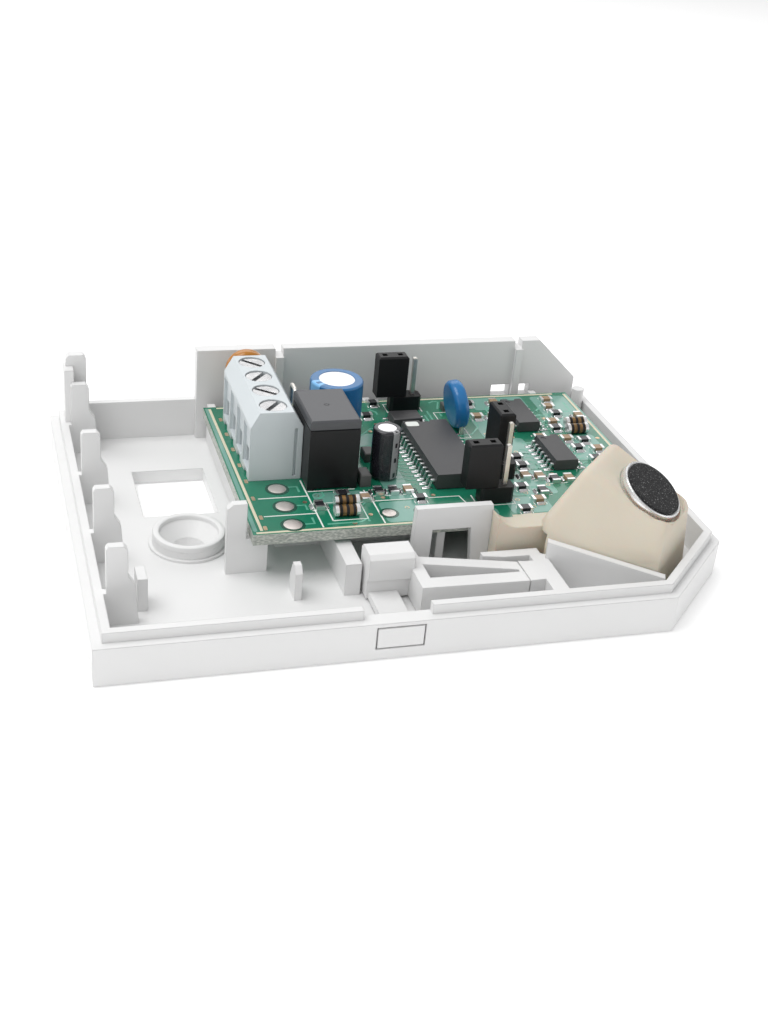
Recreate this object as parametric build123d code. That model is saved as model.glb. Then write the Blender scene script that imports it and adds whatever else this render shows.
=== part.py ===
from build123d import *
from math import cos, hypot, radians, sin, sqrt
import os

# Glass break sensor, cover off, lying on its back. Lengths are millimetres.
# Work frame: origin at the tray's front left corner, X to the microphone end, Y to the tall wall, Z up.

# tray
tray_length = 91.0
tray_depth = 65.0
corner_cut = 13.2
wall_thickness = 2.4
lip_offset = 1.26
ledge_height = 5.4
lip_height = 6.8
floor_thickness = 2.0
tall_wall_front = tray_depth - 3.6
tall_wall_thickness = 2.0
tall_wall_height = 17.1
tall_wall_left = 22.5
low_wall_height = 8.3
fin_fronts = (9.9, 25.1, 41.8, tray_depth - 6.7)
fin_height = 13.5
fin_thickness = 1.2
cable_opening_low = (11.0, 36.9)
cable_opening_high = (21.9, 50.9)
ring_centre = (16.2, 28.8)
ring_radius = 5.1
ring_height = 3.6
ring_recess_radius = 4.1
screw_hole_radius = 2.2
screw_hole_length = 1.6

# circuit board
board_low = (23.0, 18.0)
board_high = (tray_length - 6.4, tray_depth - 7.1)
board_top = 9.0
board_thickness = 1.6
board_underside = board_top - board_thickness
board_cut_sum = tray_length - 41.0
lead_hole_clearance = 0.12
solder_height = 0.9

# release latch
latch_pivot = (60.9, 7.4)
latch_pivot_radius = 1.2
latch_root_top = 4.6
arm_end = 58.0
running_clearance = 0.08
latch_floor_gap = 0.3
latch_low = floor_thickness + latch_floor_gap
button_left = 35.7
button_right = 41.9
button_low = 1.75
button_high = 4.65
button_gap = 0.2
button_swing_room = 0.7
hook_front = 10.2
hook_height = 9.0
hook_undercut = 0.5

# terminal block
pole_count = 4
pole_pitch = 5.08
block_left = 25.3
block_right = 32.9
block_front = 33.0
block_height = 10.6
block_top = board_top + block_height
pole_x = 28.94
screw_head_radius = 1.9
screw_head_height = 1.85
screw_shank_radius = 1.25
screw_slot_angles = (50, -40, 50, -45)
cage_half_width = 1.9
cage_side_gap = 0.15
cage_wall = 0.6
contact_leg_x = 31.35
contact_half = 0.35

# relay
relay_low = (32.95, 29.2)
relay_high = (40.24, 40.0)
relay_height = 10.8
relay_wall = 0.65
lid_height = 1.5
coil_centre = (36.6, 32.8)

# other tall parts
electrolytic_centre = (40.6, 44.6)
electrolytic_radius = 4.0
electrolytic_height = 10.2
small_can_centre = (45.1, 32.3)
small_can_radius = 2.05
small_can_height = 7.9
blue_disc_centre = (60.96, 47.0, 12.96)
blue_disc_radius = 3.85
blue_disc_lean = 8.0
blue_leg_x = 61.3
orange_disc_centre = (29.2, 55.8, 16.2)
orange_disc_radius = 3.2

# pin headers and shunts
header_pitch = 2.54
pin_side = 0.64
pin_top = 17.8
header_base_top = board_top + 2.54
shunt_top = 18.4
shunt_length = 4.9
shunt_width = 2.4
shunt_seat_gap = 0.05
pin_clearance = 0.06
# centre of the pin that carries the shunt, then the direction from it to the bare pin
header_places = (((57.87, 23.35), (1, 0)), ((53.57, 54.6), (1, 0)), ((63.3, 32.71), (0, -1)))

# integrated circuits: front left corner of the body, width, length, height, leads on a side
wide_ic = ((51.5, 27.2), 7.5, 17.9, 2.4, 14)
narrow_ics = (((71.5, 30.7), 3.9, 8.65, 1.75, 7), ((70.5, 43.9), 3.9, 8.65, 1.75, 7))
ic_lead_pitch = 1.27
ic_lead_width = 0.42
ic_lead_thickness = 0.22
ic_stand_off = 0.12

# small chips: centre and turn in degrees, 0 along X
chip_length = 2.0
chip_width = 1.25
chip_height = 0.6
chip_cap_length = 0.4
resistor_places = (
    (43.0, 27.4, 90), (45.2, 27.3, 90), (33.6, 24.4, 90), (37.6, 27.3, 0), (50.2, 56.4, 0), (47.9, 51.9, 0),
    (67.0, 32.6, 0), (67.1, 35.4, 0), (64.4, 26.2, 0), (67.2, 24.6, 90), (70.4, 27.8, 90), (61.9, 26.4, 90),
    (68.2, 43.4, 0), (77.3, 44.4, 0), (80.2, 39.8, 0), (78.2, 37.4, 0), (79.6, 33.6, 0), (65.9, 54.6, 0),
    (79.4, 49.6, 0), (47.3, 40.2, 90), (32.6, 55.6, 90), (66.2, 40.4, 90), (62.6, 19.8, 0), (48.4, 24.8, 0),
)
capacitor_places = (
    (47.4, 27.3, 90), (40.6, 25.8, 90), (66.3, 29.4, 90), (68.4, 28.9, 90), (72.7, 27.8, 90), (79.8, 54.9, 0),
    (79.1, 52.2, 0), (77.7, 46.7, 0), (77.6, 40.6, 0), (81.2, 36.7, 0), (73.4, 41.5, 0), (68.4, 49.4, 90),
    (65.8, 49.8, 0), (82.9, 48.3, 90), (70.4, 54.6, 90), (45.4, 55.4, 90), (55.4, 48.4, 0), (65.6, 22.2, 0),
)
melf_places = ((37.4, 24.2), (36.8, 21.6), (80.9, 45.0), (80.2, 42.7))
melf_length = 3.5
melf_radius = 0.8
tantalum_places = ((41.6, 30.6, 90, 1.9), (44.3, 38.0, 90, 1.4), (62.2, 53.2, 0, 1.2))

# microphone
capsule_face = (tray_length - 12.2, 13.8, 14.5)
capsule_tilt = 32.0
capsule_radius = 4.85
capsule_depth = 4.5
capsule_rim = 0.45
felt_depth = 0.35
cut_line = (tray_length - corner_cut) / sqrt(2)
boot_front = cut_line - 3.8
boot_back = cut_line - 19.3
boot_overhang = cut_line - 21.5
boot_right = 70.8
boot_ridge = (cut_line - 17.45, 17.7)
boot_brow = (cut_line - 4.7, 12.0)
boot_foot_top = 9.05

chamfer_out = Vector(1, -1, 0).normalized()
chamfer_along = Vector(1, 1, 0).normalized()
capsule_axis = chamfer_out * sin(radians(capsule_tilt)) + Vector(0, 0, 1) * cos(radians(capsule_tilt))


def block(low, high):
    """A box given by two opposite corners."""
    sides = [top - bottom for bottom, top in zip(low, high)]
    return Pos(*low) * Box(*sides, align=(Align.MIN, Align.MIN, Align.MIN))


def plan_prism(points, low, high):
    """A polygon drawn in plan and pulled up between two heights."""
    face = make_face(Polyline(*[(x, y, low) for x, y in points], close=True))
    return extrude(face, amount=high - low, dir=(0, 0, 1))


def front_prism(points, near, far):
    """A polygon drawn in X and Z and pulled back in Y."""
    face = make_face(Polyline(*[(x, near, z) for x, z in points], close=True))
    return extrude(face, amount=far - near, dir=(0, 1, 0))


def side_prism(points, left, right):
    """A polygon drawn in Y and Z and pulled along X."""
    face = make_face(Polyline(*[(left, y, z) for y, z in points], close=True))
    return extrude(face, amount=right - left, dir=(1, 0, 0))


def upright(centre, radius, low, high):
    """A vertical cylinder."""
    base = (Align.CENTER, Align.CENTER, Align.MIN)
    return Pos(centre[0], centre[1], low) * Cylinder(radius, high - low, align=base)


def capsule_disc(radius, start, end):
    """A cylinder on the microphone's axis, start and end measured down from its face."""
    face = Vector(*capsule_face)
    seat = Plane(origin=face - capsule_axis * end, x_dir=chamfer_along, z_dir=capsule_axis)
    return seat * Cylinder(radius, end - start, align=(Align.CENTER, Align.CENTER, Align.MIN))


def tray_outline(inset):
    """The tray's plan, moved in from its outer face."""
    cut = corner_cut + inset * (sqrt(2) - 1)
    right = tray_length - inset
    far = tray_depth - inset
    return [(inset, inset), (tray_length - cut, inset), (right, cut), (right, far), (inset, far)]


def tray_shell():
    outer = plan_prism(tray_outline(0), 0, ledge_height)
    lip = plan_prism(tray_outline(lip_offset), floor_thickness, lip_height)
    hollow = plan_prism(tray_outline(wall_thickness), floor_thickness, lip_height + 1)
    return outer + lip - hollow


def rear_walls():
    """The low wall behind the cable opening, the tall wall and the stops on it."""
    lip_back = tray_depth - lip_offset
    low_front = tray_depth - wall_thickness
    low_wall = block((wall_thickness, low_front, floor_thickness), (tall_wall_left, lip_back, low_wall_height))
    slope_start = tray_length - 10.7
    right_end = tray_length - 3.5
    profile = [(tall_wall_left, floor_thickness), (tall_wall_left, tall_wall_height), (slope_start, tall_wall_height),
               (right_end, 10.2), (right_end, floor_thickness)]
    tall_wall = front_prism(profile, tall_wall_front, tall_wall_front + tall_wall_thickness)
    filler = block((tall_wall_left, low_front, floor_thickness), (right_end, lip_back, lip_height))
    rib_front = tall_wall_front - 0.9
    right_rib_left = tray_length - 15.1
    left_rib = block((35.0, rib_front, floor_thickness), (36.3, tall_wall_front, 15.9))
    right_rib = block((right_rib_left, rib_front, floor_thickness), (right_rib_left + 1.2, tall_wall_front, 16.2))
    post = upright((right_end, tray_depth - 6.0), 1.0, floor_thickness, 9.1)
    wall = low_wall + tall_wall + filler + left_rib + right_rib + post
    for x in (35.0, right_rib_left - 0.05):
        wall -= block((x, rib_front, 15.9), (x + 1.3, tray_depth, tall_wall_height + 1))
    for left, right in ((right_rib_left - 3.4, right_rib_left - 0.1), (right_rib_left + 1.3, right_rib_left + 3.6)):
        wall -= block((left, rib_front, 7.2), (right, tray_depth, 9.3))
    return wall


def left_fins():
    """Guide plates along the left wall, the corner post behind them and the tab by the front one."""
    low = floor_thickness
    profile = [(2.0, low), (6.8, low), (6.4, 7.7), (5.5, 9.2), (5.5, 12.9), (5.0, fin_height), (3.1, fin_height),
               (2.8, 13.1), (2.8, lip_height), (2.0, lip_height)]
    fins = front_prism(profile, fin_fronts[0], fin_fronts[0] + fin_thickness)
    for front in fin_fronts[1:]:
        fins += front_prism(profile, front, front + fin_thickness)
    corner = [(2.0, low), (5.4, low), (5.4, 16.6), (5.0, 17.1), (2.9, 17.1), (2.4, 16.6), (2.0, lip_height)]
    post_back = tray_depth - 2.3
    fins += front_prism(corner, post_back - 1.5, post_back)
    fins += block((2.0, post_back - 3.3, low), (3.4, post_back, 15.4))
    return fins + block((7.0, 12.6, low), (8.3, 16.0, lip_height))


def board_supports():
    """Rails under the board, the corner post, the clip frame and the stops behind the board."""
    low = floor_thickness
    rest = board_underside
    supports = block((19.8, 19.9, low), (25.5, 21.1, rest))
    supports += front_prism([(19.8, rest), (19.8, 12.0), (20.6, 12.7), (22.5, 12.7), (22.5, rest)], 19.9, 21.1)
    stop_back = tray_depth - 5.0
    for x, start in ((24.0, 30.0), (49.4, 19.0), (78.6, 31.0)):
        supports += block((x, start, low), (x + 1.2, stop_back, rest))
        supports += block((x, board_high[1] + 0.1, rest), (x + 1.2, stop_back, board_top - 0.4))
    supports += block((28.0, 26.0, low), (50.0, 27.2, rest))
    supports += block((34.5, 12.3, low), (36.7, 27.2, lip_height))
    blade_left = 27.6
    blade = [(12.1, low), (12.1, 6.0), (12.9, 7.0), (13.9, 7.0), (15.3, 4.2), (15.3, low)]
    supports += side_prism(blade, blade_left, blade_left + 1.0)
    frame = front_prism([(44.9, low), (45.3, 12.0), (56.4, 12.0), (57.0, low)], 16.7, 17.9)
    frame -= front_prism([(47.7, low), (47.8, 8.6), (53.4, 8.6), (54.0, low)], 16.0, 18.5)
    frame += side_prism([(17.9, board_top), (18.6, board_top + 0.2), (17.9, 10.6)], 48.4, 53.0)
    return supports + frame


def boot_rib():
    """The sloping wall in front of the microphone's boot."""
    run = hypot(15.1, 6.8)
    wall = front_prism([(0, floor_thickness), (0, 9.3), (run, 6.3), (run, floor_thickness)], 0, 1.2)
    return Pos(tray_length - 28.8, 10.2, 0) * Rot(0, 0, -24.25) * wall


def latch_land():
    """The tray's land beside the latch: a socket for its root below, a bridge up to the arms above."""
    low = floor_thickness
    outline = [(60.3, 2.0), (62.6, 2.0), (62.6, 11.2), (62.0, 11.6), (62.0, 13.0), (60.3, 13.0)]
    land = plan_prism(outline, low, lip_height)
    land += plan_prism([(53.7, 11.9), (56.8, 11.3), (60.4, 11.3), (60.4, 13.0), (53.7, 13.0)], low, lip_height)
    land -= upright(latch_pivot, latch_pivot_radius + running_clearance, low, latch_root_top + running_clearance)
    seam = arm_end + 0.12
    bridge = [(seam, 5.0), (60.4, 5.1), (60.4, 9.9), (59.0, 9.9), (seam, 10.1)]
    return land + plan_prism(bridge, latch_root_top + running_clearance, lip_height)


def button_hole():
    """Hole in the front wall, with a slanted left side that clears the button as it swings in."""
    left = button_left - button_gap
    right = button_right + button_gap
    wide = button_left - button_swing_room
    outline = [(left, -1), (right, -1), (right, 4.1), (wide, 4.1), (wide, 1.5), (left, 0)]
    return plan_prism(outline, button_low - button_gap, button_high + button_gap)


def ring_boss():
    boss = upright(ring_centre, ring_radius, floor_thickness, ring_height)
    return boss + upright(ring_centre, ring_radius + 0.5, floor_thickness, floor_thickness + 0.3)


def ring_hole():
    """Screw hole with its countersink and the recess that holds the screw's head."""
    cone_depth = ring_recess_radius - screw_hole_radius
    base = (Align.CENTER, Align.CENTER, Align.MIN)
    hole = upright(ring_centre, screw_hole_radius, -1, screw_hole_length)
    cone = Cone(screw_hole_radius, ring_recess_radius, cone_depth, align=base)
    hole += Pos(ring_centre[0], ring_centre[1], screw_hole_length) * cone
    return hole + upright(ring_centre, ring_recess_radius, screw_hole_length + cone_depth, ring_height + 1)


def base_tray():
    tray = tray_shell() + rear_walls() + left_fins() + board_supports() + boot_rib() + latch_land() + ring_boss()
    tray -= ring_hole()
    tray -= block((*cable_opening_low, -1), (*cable_opening_high, floor_thickness + 1))
    tray -= button_hole()
    tray -= block((34.0, lip_offset - 1, ledge_height), (43.2, wall_thickness + 0.5, lip_height + 1))
    return tray


def release_latch():
    """Button, hook and the two spring arms, moulded in one piece and carried by the root at the land."""
    low = latch_low
    latch = block((button_left, 0.0, button_low), (button_right, 2.2, button_high))
    latch += block((37.4, 1.0, low), (41.4, 11.0, 3.3))
    nose_base = hook_front + hook_undercut
    hook = [(nose_base, low), (nose_base, 5.2), (hook_front, 5.2), (hook_front, 8.4), (hook_front + 0.6, hook_height),
            (13.8, hook_height), (14.4, 8.4), (14.4, low)]
    latch += side_prism(hook, 37.1, 43.4)
    latch += block((43.0, 5.3, low), (44.8, 14.4, lip_height))
    rear_end = arm_end - 0.1
    latch += plan_prism([(44.0, 11.3), (44.0, 13.3), (rear_end, 9.9), (arm_end, 7.8)], low, lip_height)
    latch += plan_prism([(43.4, 5.3), (43.4, 7.7), (arm_end, 7.4), (arm_end, 5.0)], low, lip_height)
    latch += plan_prism([(arm_end - 0.6, 5.1), (arm_end, 5.1), (rear_end, 9.8), (rear_end - 0.5, 9.8)], low, lip_height)
    latch += block((arm_end - 0.5, 6.7, low), (latch_pivot[0], 8.1, latch_root_top))
    return latch + upright(latch_pivot, latch_pivot_radius, low, latch_root_top)


def through_lead_holes():
    """Every lead that goes through the board: centre and half side or radius, square or round."""
    square = []
    for (x, y), (dx, dy) in header_places:
        square.append((x, y, pin_side / 2))
        square.append((x + dx * header_pitch, y + dy * header_pitch, pin_side / 2))
    for index in range(pole_count):
        square.append((contact_leg_x, pole_y(index), contact_half))
    square += [(x, y, 0.3) for x, y in relay_pin_places()]
    rounds = [(x, y, 0.3) for x, y in round_lead_places()]
    return square, rounds


def relay_pin_places():
    left = relay_low[0] + 1.3
    right = relay_high[0] - 1.3
    return [(x, y) for x in (left, right) for y in (30.4, 34.6, 38.8)]


def round_lead_places():
    ex, ey = electrolytic_centre
    sx, sy = small_can_centre
    by = blue_disc_centre[1]
    ox, oy, _ = orange_disc_centre
    return [(ex - 1.75, ey), (ex + 1.75, ey), (sx, sy - 1.0), (sx, sy + 1.0), (blue_leg_x, by - 2.5),
            (blue_leg_x, by + 2.5),
            (ox - 1.9, oy), (ox + 1.9, oy), (33.9, 45.6), (33.9, 42.6)]


def circuit_board():
    left, front = board_low
    right, back = board_high
    outline = [(left, front), (front + board_cut_sum, front), (right, right - board_cut_sum), (right, back), (left, back)]
    board = plan_prism(outline, board_underside, board_top)
    square, rounds = through_lead_holes()
    for x, y, half in square:
        reach = half + lead_hole_clearance
        board -= block((x - reach, y - reach, 0), (x + reach, y + reach, 20))
    for x, y, radius in rounds:
        board -= upright((x, y), radius + lead_hole_clearance, 0, 20)
    for y in (20.0, 25.1, 30.2):
        board -= upright((28.85, y), 0.65, 0, 20)
    return board


def solder_joints():
    """A stepped collar under the board round each lead."""
    square, rounds = through_lead_holes()
    joints = []
    for x, y, half in square:
        wide = half + 0.55
        collar = block((x - wide, y - wide, board_underside - 0.3), (x + wide, y + wide, board_underside))
        joints.append(collar - block((x - half, y - half, 0), (x + half, y + half, 20)))
    for x, y, radius in rounds:
        wide = radius + 0.5
        collar = block((x - wide, y - wide, board_underside - 0.3), (x + wide, y + wide, board_underside))
        joints.append(collar - upright((x, y), radius, 0, 20))
    return joints


def test_pads():
    """Bare rings at the unused terminal holes and round pads at the board's front edge."""
    pads = []
    for y in (20.0, 25.1, 30.2):
        pads.append(upright((28.85, y), 1.25, board_top, board_top + 0.06) - upright((28.85, y), 0.65, 0, 20))
    for x in (42.9, 47.9, 53.0):
        pads.append(upright((x, 21.4), 0.95, board_top, board_top + 0.06))
    return pads


def pole_y(index):
    return block_front + pole_pitch * (index + 0.5)


def terminal_housing():
    """Four poles in one moulding: a cage shaft, a screw well and a wire entry in each."""
    back = block_front + pole_pitch * pole_count
    shoulder = 17.3
    profile = [(block_left, board_top), (block_left, shoulder), (26.6, block_top), (31.5, block_top),
               (block_right, shoulder), (block_right, board_top)]
    housing = front_prism(profile, block_front, back)
    for index in range(pole_count):
        y = pole_y(index)
        shaft = cage_half_width + cage_side_gap
        housing -= block((27.2, y - shaft, board_top - 1), (30.9, y + shaft, 17.0))
        housing -= block((27.2, y - 1.2, 12.9), (31.8, y + 1.2, 13.9))
        housing -= block((30.8, y - 0.5, 0), (31.8, y + 0.5, 13.9))
        housing -= upright((pole_x, y), screw_shank_radius + running_clearance, 16, 20)
        housing -= upright((pole_x, y), screw_head_radius + running_clearance, block_top - 2.15, 20)
        housing -= block((block_left - 1, y - 1.75, 10.2), (27.3, y + 1.75, 12.9))
        housing -= block((block_left - 1, y - 2.1, 10.2), (block_left + 0.45, y + 2.1, 16.6))
        housing -= block((block_left - 1, y - 0.9, board_top - 1), (block_left + 0.8, y + 0.9, 9.7))
    housing -= block((31.7, block_front - 1, board_top + 0.5), (32.1, block_front + 0.45, 17.0))
    return housing


def terminal_screw(index):
    """Pan head with a driver slot, and a plain shank for the thread."""
    centre = (pole_x, pole_y(index))
    head_top = block_top - 0.15
    head_low = head_top - screw_head_height
    screw = upright(centre, screw_head_radius, head_low, head_top)
    screw += upright(centre, screw_shank_radius, 13.95, head_low)
    slot = Box(5, 0.65, 1.8)
    return screw - Pos(centre[0], centre[1], head_top) * Rot(0, 0, screw_slot_angles[index]) * slot


def wire_cage(index):
    """The rising clamp that the screw lifts towards the fixed bar."""
    y = pole_y(index)
    cage = block((27.4, y - cage_half_width, 9.5), (30.6, y + cage_half_width, 15.1))
    cage -= block((27, y - cage_half_width + cage_wall, 10.1), (31, y + cage_half_width - cage_wall, 14.2))
    return cage - upright((pole_x, y), screw_shank_radius + running_clearance, 14, 16)


def terminal_contacts():
    """Fixed bar of each pole, bent down behind the cage into its solder pin."""
    contacts = []
    for index in range(pole_count):
        y = pole_y(index)
        contact = block((27.25, y - 1.1, 13.0), (31.7, y + 1.1, 13.8))
        contact += block((31.0, y - contact_half, board_top + 0.2), (31.7, y + contact_half, 13.0))
        contact += block((31.0, y - contact_half, board_underside - solder_height),
                         (31.7, y + contact_half, board_top + 0.2))
        contacts.append(contact)
    return contacts


def relay_case():
    """Tub of the relay, open at the top."""
    low_x, low_y = relay_low
    high_x, high_y = relay_high
    top = board_top + relay_height - lid_height
    case = block((low_x, low_y, board_top + 0.3), (high_x, high_y, top))
    inside_low = (low_x + relay_wall, low_y + relay_wall, board_top + 0.9)
    case -= block(inside_low, (high_x - relay_wall, high_y - relay_wall, top + 1))
    for x in (low_x, high_x - 1):
        for y in (low_y, high_y - 1):
            case += block((x, y, board_top), (x + 1, y + 1, board_top + 0.3))
    for x, y in relay_pin_places():
        case -= block((x - 0.3, y - 0.3, 0), (x + 0.3, y + 0.3, 11))
    return case


def relay_lid():
    """Cap of the relay with a plug that locates it in the tub."""
    low_x, low_y = relay_low
    high_x, high_y = relay_high
    seam = board_top + relay_height - lid_height
    top = board_top + relay_height
    lid = block((low_x, low_y, seam + 0.15), (high_x, high_y, top))
    inner = relay_wall + 0.02
    plug = block((low_x + inner, low_y + inner, seam - 0.5), (high_x - inner, high_y - inner, seam + 0.15))
    lid += plug
    lid += block((low_x + 0.2, low_y + 0.2, seam), (high_x - 0.2, high_y - 0.2, seam + 0.15))
    hollow = relay_wall + 0.6
    lid -= block((low_x + hollow, low_y + hollow, seam - 1), (high_x - hollow, high_y - hollow, seam + 0.5))
    return chamfer(lid.edges().group_by(Axis.Z)[-1], 0.25)


def relay_pins():
    floor_top = board_top + 0.9
    low = board_underside - solder_height
    return [block((x - 0.3, y - 0.3, low), (x + 0.3, y + 0.3, floor_top + 0.4)) for x, y in relay_pin_places()]


def relay_bobbin():
    x, y = coil_centre
    bobbin = block((x - 2.4, y - 2.4, 10.9), (x + 2.4, y + 2.4, 11.4))
    bobbin += block((x - 2.4, y - 2.4, 14.6), (x + 2.4, y + 2.4, 15.1))
    bobbin += upright(coil_centre, 1.3, 11.4, 14.6)
    return bobbin - upright(coil_centre, 0.9, 10, 16)


def relay_winding():
    return upright(coil_centre, 2.25, 11.4, 14.6) - upright(coil_centre, 1.3, 11, 15)


def relay_yoke():
    """Iron core, its pole face and the bent yoke that the armature rocks on."""
    x, y = coil_centre
    yoke = block((x - 1.7, y - 1.9, 10.35), (x + 1.7, y + 3.6, 10.9))
    yoke += block((x - 1.7, y + 3.0, 10.35), (x + 1.7, y + 3.6, 15.6))
    yoke += upright(coil_centre, 0.9, 10.9, 15.1)
    yoke += upright(coil_centre, 1.4, 15.1, 15.4)
    yoke += block((x - 1.7, y - 1.9, board_top + 0.9), (x + 1.7, y - 1.2, 10.35))
    return yoke + block((x - 1.7, y + 2.9, board_top + 0.9), (x + 1.7, y + 3.6, 10.35))


def relay_armature():
    x, y = coil_centre
    return block((x - 1.7, y - 1.6, 15.68), (x + 1.7, y + 3.6, 16.1))


def relay_blade():
    """Spring blade on the armature with the moving contact at its end."""
    x, y = coil_centre
    blade = block((x - 1.0, y - 1.0, 16.1), (x + 1.0, y + 5.9, 16.25))
    blade += upright((x, y + 5.3), 0.5, 15.9, 16.1)
    return blade + upright((x, y + 5.3), 0.5, 16.25, 16.45)


def relay_fixed_contacts():
    """Closed contact under the blade's tip and open contact over it, each on its own strip."""
    x, y = coil_centre
    tip = y + 5.3
    lower = block((x - 0.9, tip - 0.45, 10.3), (x + 0.9, tip + 0.45, 15.5)) + upright((x, tip), 0.45, 15.5, 15.85)
    lower += block((x - 0.9, tip - 0.45, board_top + 0.9), (x + 0.9, tip + 0.45, 10.3))
    upper = block((x + 1.6, tip - 0.45, board_top + 0.9), (x + 2.2, tip + 0.45, 17.2))
    upper += block((x - 0.6, tip - 0.45, 17.0), (x + 2.2, tip + 0.45, 17.2)) + upright((x, tip), 0.45, 16.65, 17.0)
    return [lower, upper]


def can_sleeve(centre, radius, height, wall):
    """Shrunk sleeve round a capacitor's can, turned in over the top and the foot."""
    top = board_top + height
    sleeve = upright(centre, radius, board_top + 0.2, top)
    sleeve = fillet(sleeve.edges().filter_by(GeomType.CIRCLE), 0.35)
    sleeve -= upright(centre, radius - wall, board_top + 0.35, top - 0.12)
    return sleeve - upright(centre, radius * 0.68, 0, top + 1)


def can_body(centre, radius, height, wall):
    """Aluminium can with a pressed groove round its foot and a raised vent disc."""
    top = board_top + height
    can = upright(centre, radius - wall - 0.02, board_top + 0.36, top - 0.13)
    can += upright(centre, radius * 0.68 - 0.03, top - 0.13, top - 0.05)
    return can + upright(centre, radius * 0.68 - 0.03, board_top + 0.15, board_top + 0.36)


def can_leads(centre, spacing, along_x):
    leads = []
    for side in (-1, 1):
        x = centre[0] + side * spacing / 2 * (1 if along_x else 0)
        y = centre[1] + side * spacing / 2 * (0 if along_x else 1)
        leads.append(upright((x, y), 0.3, board_underside - solder_height, board_top + 0.15))
    return leads


def disc_part(centre, radius, half_thickness, turn):
    """Dipped ceramic disc standing on edge, softened all round."""
    disc = Cylinder(radius, half_thickness * 2)
    disc = fillet(disc.edges().filter_by(GeomType.CIRCLE), half_thickness * 0.7)
    return Pos(*centre) * turn * disc


def disc_legs(places, centre, radius):
    """Straight legs from the lower part of a disc into the board."""
    spacing = hypot(places[1][0] - places[0][0], places[1][1] - places[0][1])
    top = centre[2] - sqrt(radius ** 2 - (spacing / 2) ** 2) + 0.8
    return [upright(place, 0.3, board_underside - solder_height, top) for place in places]


def standing_lead():
    """Bare wire link that stands as a hairpin between the terminals and the capacitor."""
    low = board_underside - solder_height
    path = FilletPolyline((33.9, 45.6, low), (33.9, 45.6, 18.4), (33.9, 42.6, 18.4), (33.9, 42.6, low), radius=1.0)
    return sweep(Plane(origin=path @ 0, z_dir=path % 0) * Circle(0.3), path=path)


def header_base(place):
    (x, y), (dx, dy) = place
    half = header_pitch / 2
    far_x = x + dx * header_pitch
    far_y = y + dy * header_pitch
    low = (min(x, far_x) - half, min(y, far_y) - half, board_top)
    high = (max(x, far_x) + half, max(y, far_y) + half, header_base_top)
    base = block(low, high)
    base = chamfer(base.edges().filter_by(Axis.Z), 0.45)
    for px, py in ((x, y), (far_x, far_y)):
        base -= block((px - pin_side / 2, py - pin_side / 2, 0), (px + pin_side / 2, py + pin_side / 2, 20))
    return base


def header_pins():
    pins = []
    half = pin_side / 2
    for (x, y), (dx, dy) in header_places:
        for step in (0, 1):
            px = x + dx * header_pitch * step
            py = y + dy * header_pitch * step
            pin = block((px - half, py - half, board_underside - solder_height), (px + half, py + half, pin_top))
            pins.append(chamfer(pin.faces().sort_by(Axis.Z)[-1].edges(), 0.15))
    return pins


def shunt_frame(place):
    """Where a shunt's two sockets lie: over the first pin and beyond it, away from the bare pin."""
    (x, y), (dx, dy) = place
    return (x - dx * header_pitch / 2, y - dy * header_pitch / 2), (dx, dy)


def shunt_housing(place):
    (cx, cy), (dx, dy) = shunt_frame(place)
    low = header_base_top + shunt_seat_gap
    size_x = shunt_length if dx else shunt_width
    size_y = shunt_width if dx else shunt_length
    housing = block((cx - size_x / 2, cy - size_y / 2, low), (cx + size_x / 2, cy + size_y / 2, shunt_top))
    housing = chamfer(housing.edges().group_by(Axis.Z)[-1], 0.25)
    for side in (-1, 1):
        x = cx + dx * side * header_pitch / 2
        y = cy + dy * side * header_pitch / 2
        half = pin_side / 2 + pin_clearance + 0.25
        housing -= block((x - half, y - half, low - 1), (x + half, y + half, shunt_top - 0.5))
        housing -= block((x - 0.4, y - 0.4, low), (x + 0.4, y + 0.4, shunt_top + 1))
    return housing


def shunt_contact(place):
    """Sheet contact that grips both sides of each pin and joins the two sockets."""
    (cx, cy), (dx, dy) = shunt_frame(place)
    low = header_base_top + shunt_seat_gap + 0.6
    inner = pin_side / 2 + pin_clearance
    outer = inner + 0.2
    strips = []
    for side in (-1, 1):
        x = cx + dx * side * header_pitch / 2
        y = cy + dy * side * header_pitch / 2
        sleeve = block((x - outer, y - outer, low), (x + outer, y + outer, shunt_top - 1.4))
        strips.append(sleeve - block((x - inner, y - inner, low - 1), (x + inner, y + inner, shunt_top)))
    return strips


def ic_body(corner, width, length, height):
    """Moulded package: drafted above and below its parting line, with the end notch."""
    x, y = corner
    low = board_top + ic_stand_off
    top = board_top + height
    middle = (low + top) / 2
    draft = 0.22
    profile = [(x + draft, low), (x, middle), (x + draft, top), (x + width - draft, top), (x + width, middle),
               (x + width - draft, low)]
    body = front_prism(profile, y, y + length)
    body -= Pos(x + width / 2, y + length, top) * Cylinder(min(0.9, width / 6), 0.5)
    return body - Pos(x + 0.95, y + length - 1.2, top) * Cylinder(0.4, 0.16)


def ic_leads(corner, width, length, height, count):
    """Gull-wing leads along both long sides."""
    x, y = corner
    shoulder = board_top + (ic_stand_off + height) / 2 + ic_lead_thickness / 2
    low = board_top
    t = ic_lead_thickness
    reach = 1.35 if width > 5 else 1.0
    first = y + (length - ic_lead_pitch * (count - 1)) / 2 - ic_lead_width / 2
    leads = []
    for side in (-1, 1):
        edge = x if side < 0 else x + width
        shape = [(0, shoulder), (reach * 0.4, shoulder), (reach * 0.62, low + t), (reach, low + t), (reach, low),
                 (reach * 0.48, low), (reach * 0.26, shoulder - t), (0, shoulder - t)]
        points = [(edge + side * step, z) for step, z in shape]
        for index in range(count):
            start = first + ic_lead_pitch * index
            leads.append(front_prism(points, start, start + ic_lead_width))
    return leads


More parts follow.
